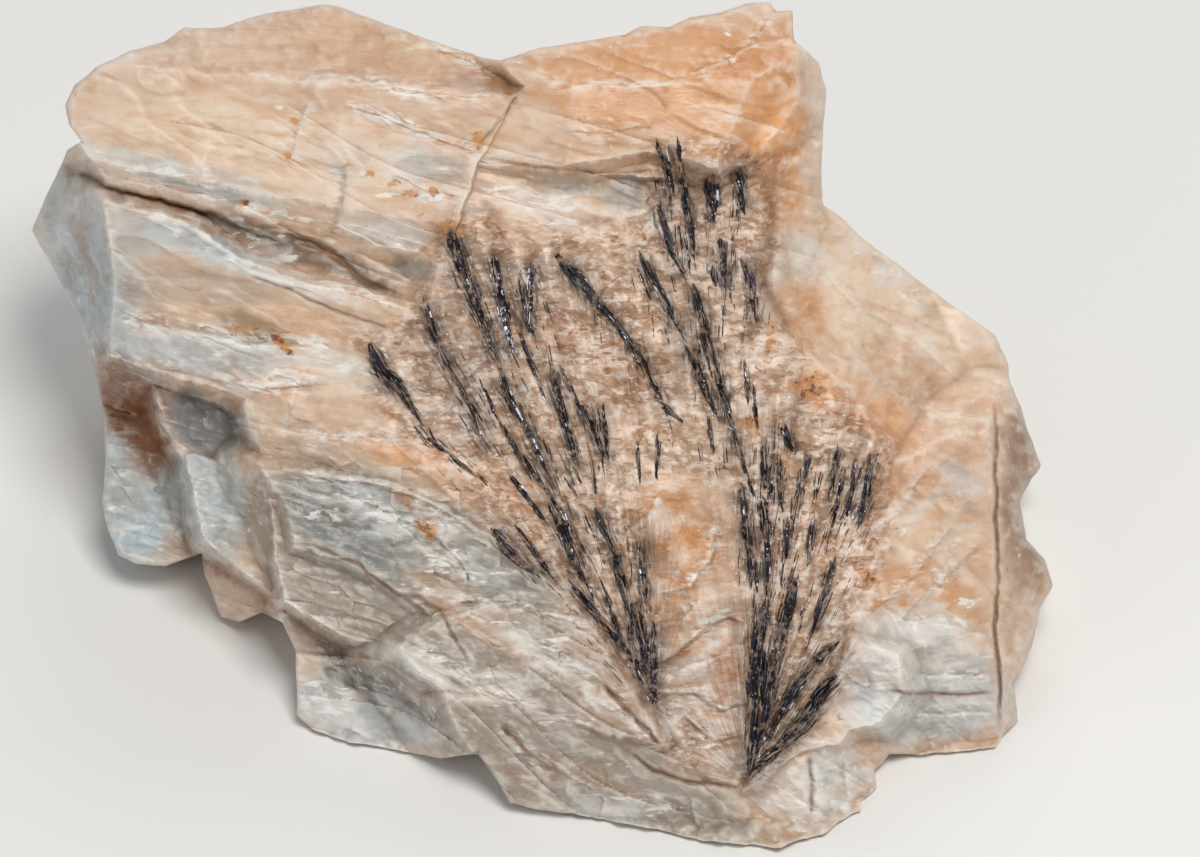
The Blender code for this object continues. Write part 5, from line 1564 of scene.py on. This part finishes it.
def needle_object(name, u, v, d, radius, shade, material, sides=5):
    """One piece of many needles, flat sided, each needle with its own shade."""
    vertices, quads, caps, per = needle_mesh(u, v, d, radius, sides)
    obj = new_mesh(name, vertices, quads, caps)
    store(obj.data, "shade", np.repeat(shade, per))
    obj.data.materials.append(material)
    return obj


def sheaf(rods, seed, fineness, look):
    """Blades and fibres side by side along each rod's path, in the outline of a lance.

    A needle covers a stretch of the path, shifted aside by a normal spread times the lance's own width
    there, which goes as the root of share (1 - share).  Its shade is an even spread, browner by the
    look's rust, and set to the painted glint for the share of glints.  The look gives density, that
    share, how strongly needles keep to the start, and rust.
    """
    density, glints, lean, rust = look
    rng = np.random.default_rng(seed)
    parts = []
    for width, path in rods:
        length = np.hypot(*np.diff(np.array(path), axis=0).T).sum()
        blades = 4 + int(3 * width * math.sqrt(length) * density)
        count = blades + int(fineness * density * (6 + 4 * length + 14 * width * length))
        blade = np.arange(count) < blades
        start = rng.uniform(0.0, 1.0, count) ** lean
        start = np.where(blade, 0.72 * start, 0.96 * start) - 0.03
        run = np.where(blade, rng.uniform(0.7, 2.4, count), rng.uniform(0.5, 1.6, count)) / length
        end = np.minimum(start + run, 1.0 + rng.uniform(-0.05, 0.12, count))
        share = start[:, None] + (end - start)[:, None] * np.linspace(0, 1, STATIONS)[None, :]
        u, v, du, dv = on_path(path, share)
        spread = np.where(blade, 0.20, 0.25)
        across = (rng.normal(0.0, 1.0, count) * spread).clip(-0.85, 0.85) * width
        drift = rng.normal(0.0, 0.05, count)
        lance = (0.25 + 0.9 * np.sqrt(np.clip(4.0 * share * (1.0 - share), 0.0, 1.0))) * (1.2 - 0.5 * share)
        gap = across[:, None] * lance + drift[:, None] * np.linspace(-0.5, 0.5, STATIONS)
        u, v = u - dv * gap, v + du * gap
        blade_radius = 0.02 + rng.uniform(0.08, 0.17, count) * width
        radius = np.where(blade, blade_radius, rng.uniform(0.018, 0.050, count))
        rise = radius * rng.uniform(-0.3, 0.9, count) + 0.05 * rng.uniform(0.0, 1.0, count) * width
        blade_shade = np.minimum(rng.uniform(0.0, 0.56, count) + rust, 0.6)
        shade = np.where(blade, blade_shade, rng.uniform(rust, 0.88, count))
        shade = np.where(rng.uniform(0, 1, count) < glints, rng.uniform(0.92, 1.0, count), shade)
        parts.append((u, v, lie_down(u, v, rise[:, None]), radius, shade))
    return [np.concatenate(part) for part in zip(*parts)]


def trails(per_rod, seed):
    """Broken lines of short thin needles that carry on from each crystal towards its fan's foot."""
    rng = np.random.default_rng(seed)
    starts = []
    for rods in SPRAYS.values():
        for width, path in rods:
            for _ in range(per_rod):
                u, v, du, dv = on_path(path, rng.uniform(0.0, 1.0, 1))
                aside = rng.normal(0.0, 0.5) + rng.choice([-1, 1]) * 0.5 * width
                starts.append((u[0] - dv[0] * aside, v[0] + du[0] * aside, rng.uniform(1.0, 5.0)))
    u, v, reach = np.array(starts).T
    left = u < 3.0 - 0.10 * v - 0.8 * (v > 4)
    foot_u = np.where(left, LEFT_APEX[0], RIGHT_APEX[0])
    foot_v = np.where(left, LEFT_APEX[1], RIGHT_APEX[1])
    angle = np.arctan2(foot_v - v, foot_u - u) + rng.normal(0, 0.05, len(u))
    reach = np.minimum(reach, 0.9 * np.hypot(foot_u - u, foot_v - v))
    count = np.maximum((reach * 2.0).astype(int), 2)
    line = np.repeat(np.arange(len(u)), count)
    along = rng.uniform(0, 1, len(line)) * reach[line]
    aside = rng.normal(0, 0.07, len(line))
    angle = angle[line]
    middle_u = u[line] + np.cos(angle) * along - np.sin(angle) * aside
    middle_v = v[line] + np.sin(angle) * along + np.cos(angle) * aside
    angle = angle + rng.normal(0, 0.05, len(line))
    length = 0.30 + 1.5 * rng.beta(1.3, 2.6, len(line))
    stations = np.linspace(-0.5, 0.5, STATIONS)[None, :]
    u = middle_u[:, None] + (np.cos(angle) * length)[:, None] * stations
    v = middle_v[:, None] + (np.sin(angle) * length)[:, None] * stations
    held = bed_share(middle_u, middle_v) > 0.25
    u, v, radius = u[held], v[held], rng.uniform(0.014, 0.038, len(line))[held]
    rise = radius * rng.uniform(-0.6, 0.8, len(radius))
    return u, v, lie_down(u, v, rise[:, None]), radius, rng.uniform(0, 0.97, len(radius))


# ---------------------------------------------------------------- settings
class RockSettings(bpy.types.PropertyGroup):
    """How finely the feldspar is worked."""

    cells: bpy.props.IntProperty(
        name="Cells", description="Cells across the front of the rock", default=640, min=40)
    rows: bpy.props.IntProperty(
        name="Wall rows", description="Rows of cells down the rock's sides", default=76, min=4)
    triangles: bpy.props.IntProperty(
        name="Triangles", description="The most triangles that the rock keeps", default=190000, min=5000)


class NeedleSettings(bpy.types.PropertyGroup):
    """How dense and how dark the kobeite is."""

    fineness: bpy.props.FloatProperty(
        name="Fineness", description="Needles in each bundle, against the usual number", default=1.0, min=0.1)
    trails: bpy.props.IntProperty(
        name="Trails", description="Broken lines of thin needles that carry on from each crystal",
        default=4, min=1)
    dark: bpy.props.FloatVectorProperty(
        name="Dark", description="Colour of most needles", subtype="COLOR", default=(0.010, 0.009, 0.013))
    # The painted glint: a bright colour laid on some needles as highlights.
    painted_glint: bpy.props.FloatVectorProperty(
        name="Glint", description="Colour of the brightest needles", subtype="COLOR",
        default=(0.80, 0.81, 0.96))


class StageSettings(bpy.types.PropertyGroup):
    """Floor, light and camera."""

    floor: bpy.props.FloatVectorProperty(
        name="Floor", description="Colour of the floor", subtype="COLOR", default=(0.78, 0.775, 0.76))
    reach: bpy.props.FloatProperty(
        name="Floor reach", description="Half the floor's width", default=1.5, unit="LENGTH")
    distance: bpy.props.FloatProperty(
        name="Camera distance", description="From the rock's front face", default=0.3, unit="LENGTH")
    frame_width: bpy.props.FloatProperty(
        name="Frame width", description="Width seen at the front face", default=0.06, unit="LENGTH")


# ---------------------------------------------------------------- operators
class KOBEITE_OT_rock(bpy.types.Operator):
    """Make the broken feldspar rock"""

    bl_idname = "kobeite.rock"
    bl_label = "Feldspar rock"

    def execute(self, context):
        settings = context.scene.kobeite_rock
        points, quads, triangles = rock_surface(settings.cells, settings.rows)
        rock = new_mesh("feldspar_rock", points, quads, triangles)
        thinned(rock, settings.triangles)
        rock.data.shade_smooth()
        rock.data.set_sharp_from_angle(angle=math.radians(38))
        dress_rock(rock.data)
        rock.data.materials.append(feldspar_material())
        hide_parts("feldspar_matrix")
        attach(rock, "root")
        return {"FINISHED"}


class KOBEITE_OT_needles(bpy.types.Operator):
    """Make the kobeite needles of both fans, a piece for each crystal, and the strays between them"""

    bl_idname = "kobeite.needles"
    bl_label = "Kobeite needles"

    def execute(self, context):
        settings = context.scene.kobeite_needles
        kobeite = kobeite_material("kobeite", tuple(settings.dark), tuple(settings.painted_glint))
        for number, (node, rods) in enumerate(SPRAYS.items()):
            sheaves = sheaf(rods, SHEAF_SEED + number, settings.fineness, LOOKS.get(node, USUAL_LOOK))
            needles = needle_object(node + "_needles", *sheaves, kobeite)
            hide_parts(node)
            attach(needles, "root")
        pairs = zip(trails(settings.trails, TRAIL_SEED),
                    sheaf(FINE_NEEDLES, STRAY_SEED, settings.fineness, USUAL_LOOK))
        strays = needle_object("stray_needles", *map(np.concatenate, pairs), kobeite, sides=4)
        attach(strays, "root")
        return {"FINISHED"}


class KOBEITE_OT_stage(bpy.types.Operator):
    """Set the floor, the lights and the camera"""

    bl_idname = "kobeite.stage"
    bl_label = "Stage"

    def execute(self, context):
        settings = context.scene.kobeite_stage
        reach = settings.reach
        corners = np.array([(-reach, -reach, 0), (reach, -reach, 0), (reach, reach, 0), (-reach, reach, 0)])
        floor = new_mesh("floor", corners, np.array([[0, 1, 2, 3]]))
        floor.data.materials.append(matte_material("floor", tuple(settings.floor), 0.7))
        for name, place, width, power, colour in LAMPS:
            lamp(name, place, ORIGIN * MM, width, power, colour)
        world_light(context.scene, (0.95, 0.97, 1.0), 0.26)
        camera_data = bpy.data.cameras.new("camera")
        camera_data.sensor_width = SENSOR
        camera_data.lens = SENSOR * settings.distance / settings.frame_width
        camera_data.clip_start = 0.01
        camera = bpy.data.objects.new("camera", camera_data)
        aim = (ORIGIN + CAMERA_RISE * ALONG_V) * MM
        turn = np.stack([ALONG_U, ALONG_V, OUTWARD], axis=1)
        camera.matrix_world = Matrix.Translation(aim + settings.distance * OUTWARD) @ Matrix(turn).to_4x4()
        context.scene.collection.objects.link(camera)
        context.scene.camera = camera
        context.scene.view_settings.view_transform = "Standard"
        return {"FINISHED"}


def lamp(name, place, target, size, power, colour):
    """A square soft light that looks at a point."""
    data = bpy.data.lights.new(name, "AREA")
    data.size = size
    data.energy = power
    data.color = colour
    obj = bpy.data.objects.new(name, data)
    way = Vector(target) - Vector(place)
    obj.matrix_world = Matrix.Translation(place) @ way.to_track_quat("-Z", "Y").to_matrix().to_4x4()
    bpy.context.scene.collection.objects.link(obj)


def world_light(scene, colour, strength):
    """Even pale light from all round."""
    scene.world = bpy.data.worlds.new("surroundings")
    scene.world.use_nodes = True
    sky = scene.world.node_tree.nodes["Background"]
    sky.inputs["Color"].default_value = (*colour, 1.0)
    sky.inputs["Strength"].default_value = strength


class KOBEITE_PT_panel(bpy.types.Panel):
    """Kobeite specimen"""

    bl_label = "Kobeite specimen"
    bl_idname = "KOBEITE_PT_panel"
    bl_space_type = "VIEW_3D"
    bl_region_type = "UI"
    bl_category = "Kobeite"

    def draw(self, context):
        for name in SETTINGS:
            settings = getattr(context.scene, name)
            box = self.layout.box()
            for key in settings.__annotations__:
                box.prop(settings, key)
        for operator in OPERATORS:
            self.layout.operator(operator.bl_idname)


OPERATORS = (KOBEITE_OT_rock, KOBEITE_OT_needles, KOBEITE_OT_stage)
SETTINGS = {"kobeite_rock": RockSettings, "kobeite_needles": NeedleSettings, "kobeite_stage": StageSettings}
CLASSES = (*SETTINGS.values(), *OPERATORS, KOBEITE_PT_panel)


def register():
    for one in CLASSES:
        bpy.utils.register_class(one)
    for name, kind in SETTINGS.items():
        setattr(bpy.types.Scene, name, bpy.props.PointerProperty(type=kind))


def unregister():
    for name in SETTINGS:
        delattr(bpy.types.Scene, name)
    for one in reversed(CLASSES):
        bpy.utils.unregister_class(one)


def main():
    register()
    bpy.ops.kobeite.rock()
    bpy.ops.kobeite.needles()
    bpy.ops.kobeite.stage()


if __name__ == "__main__":
    main()
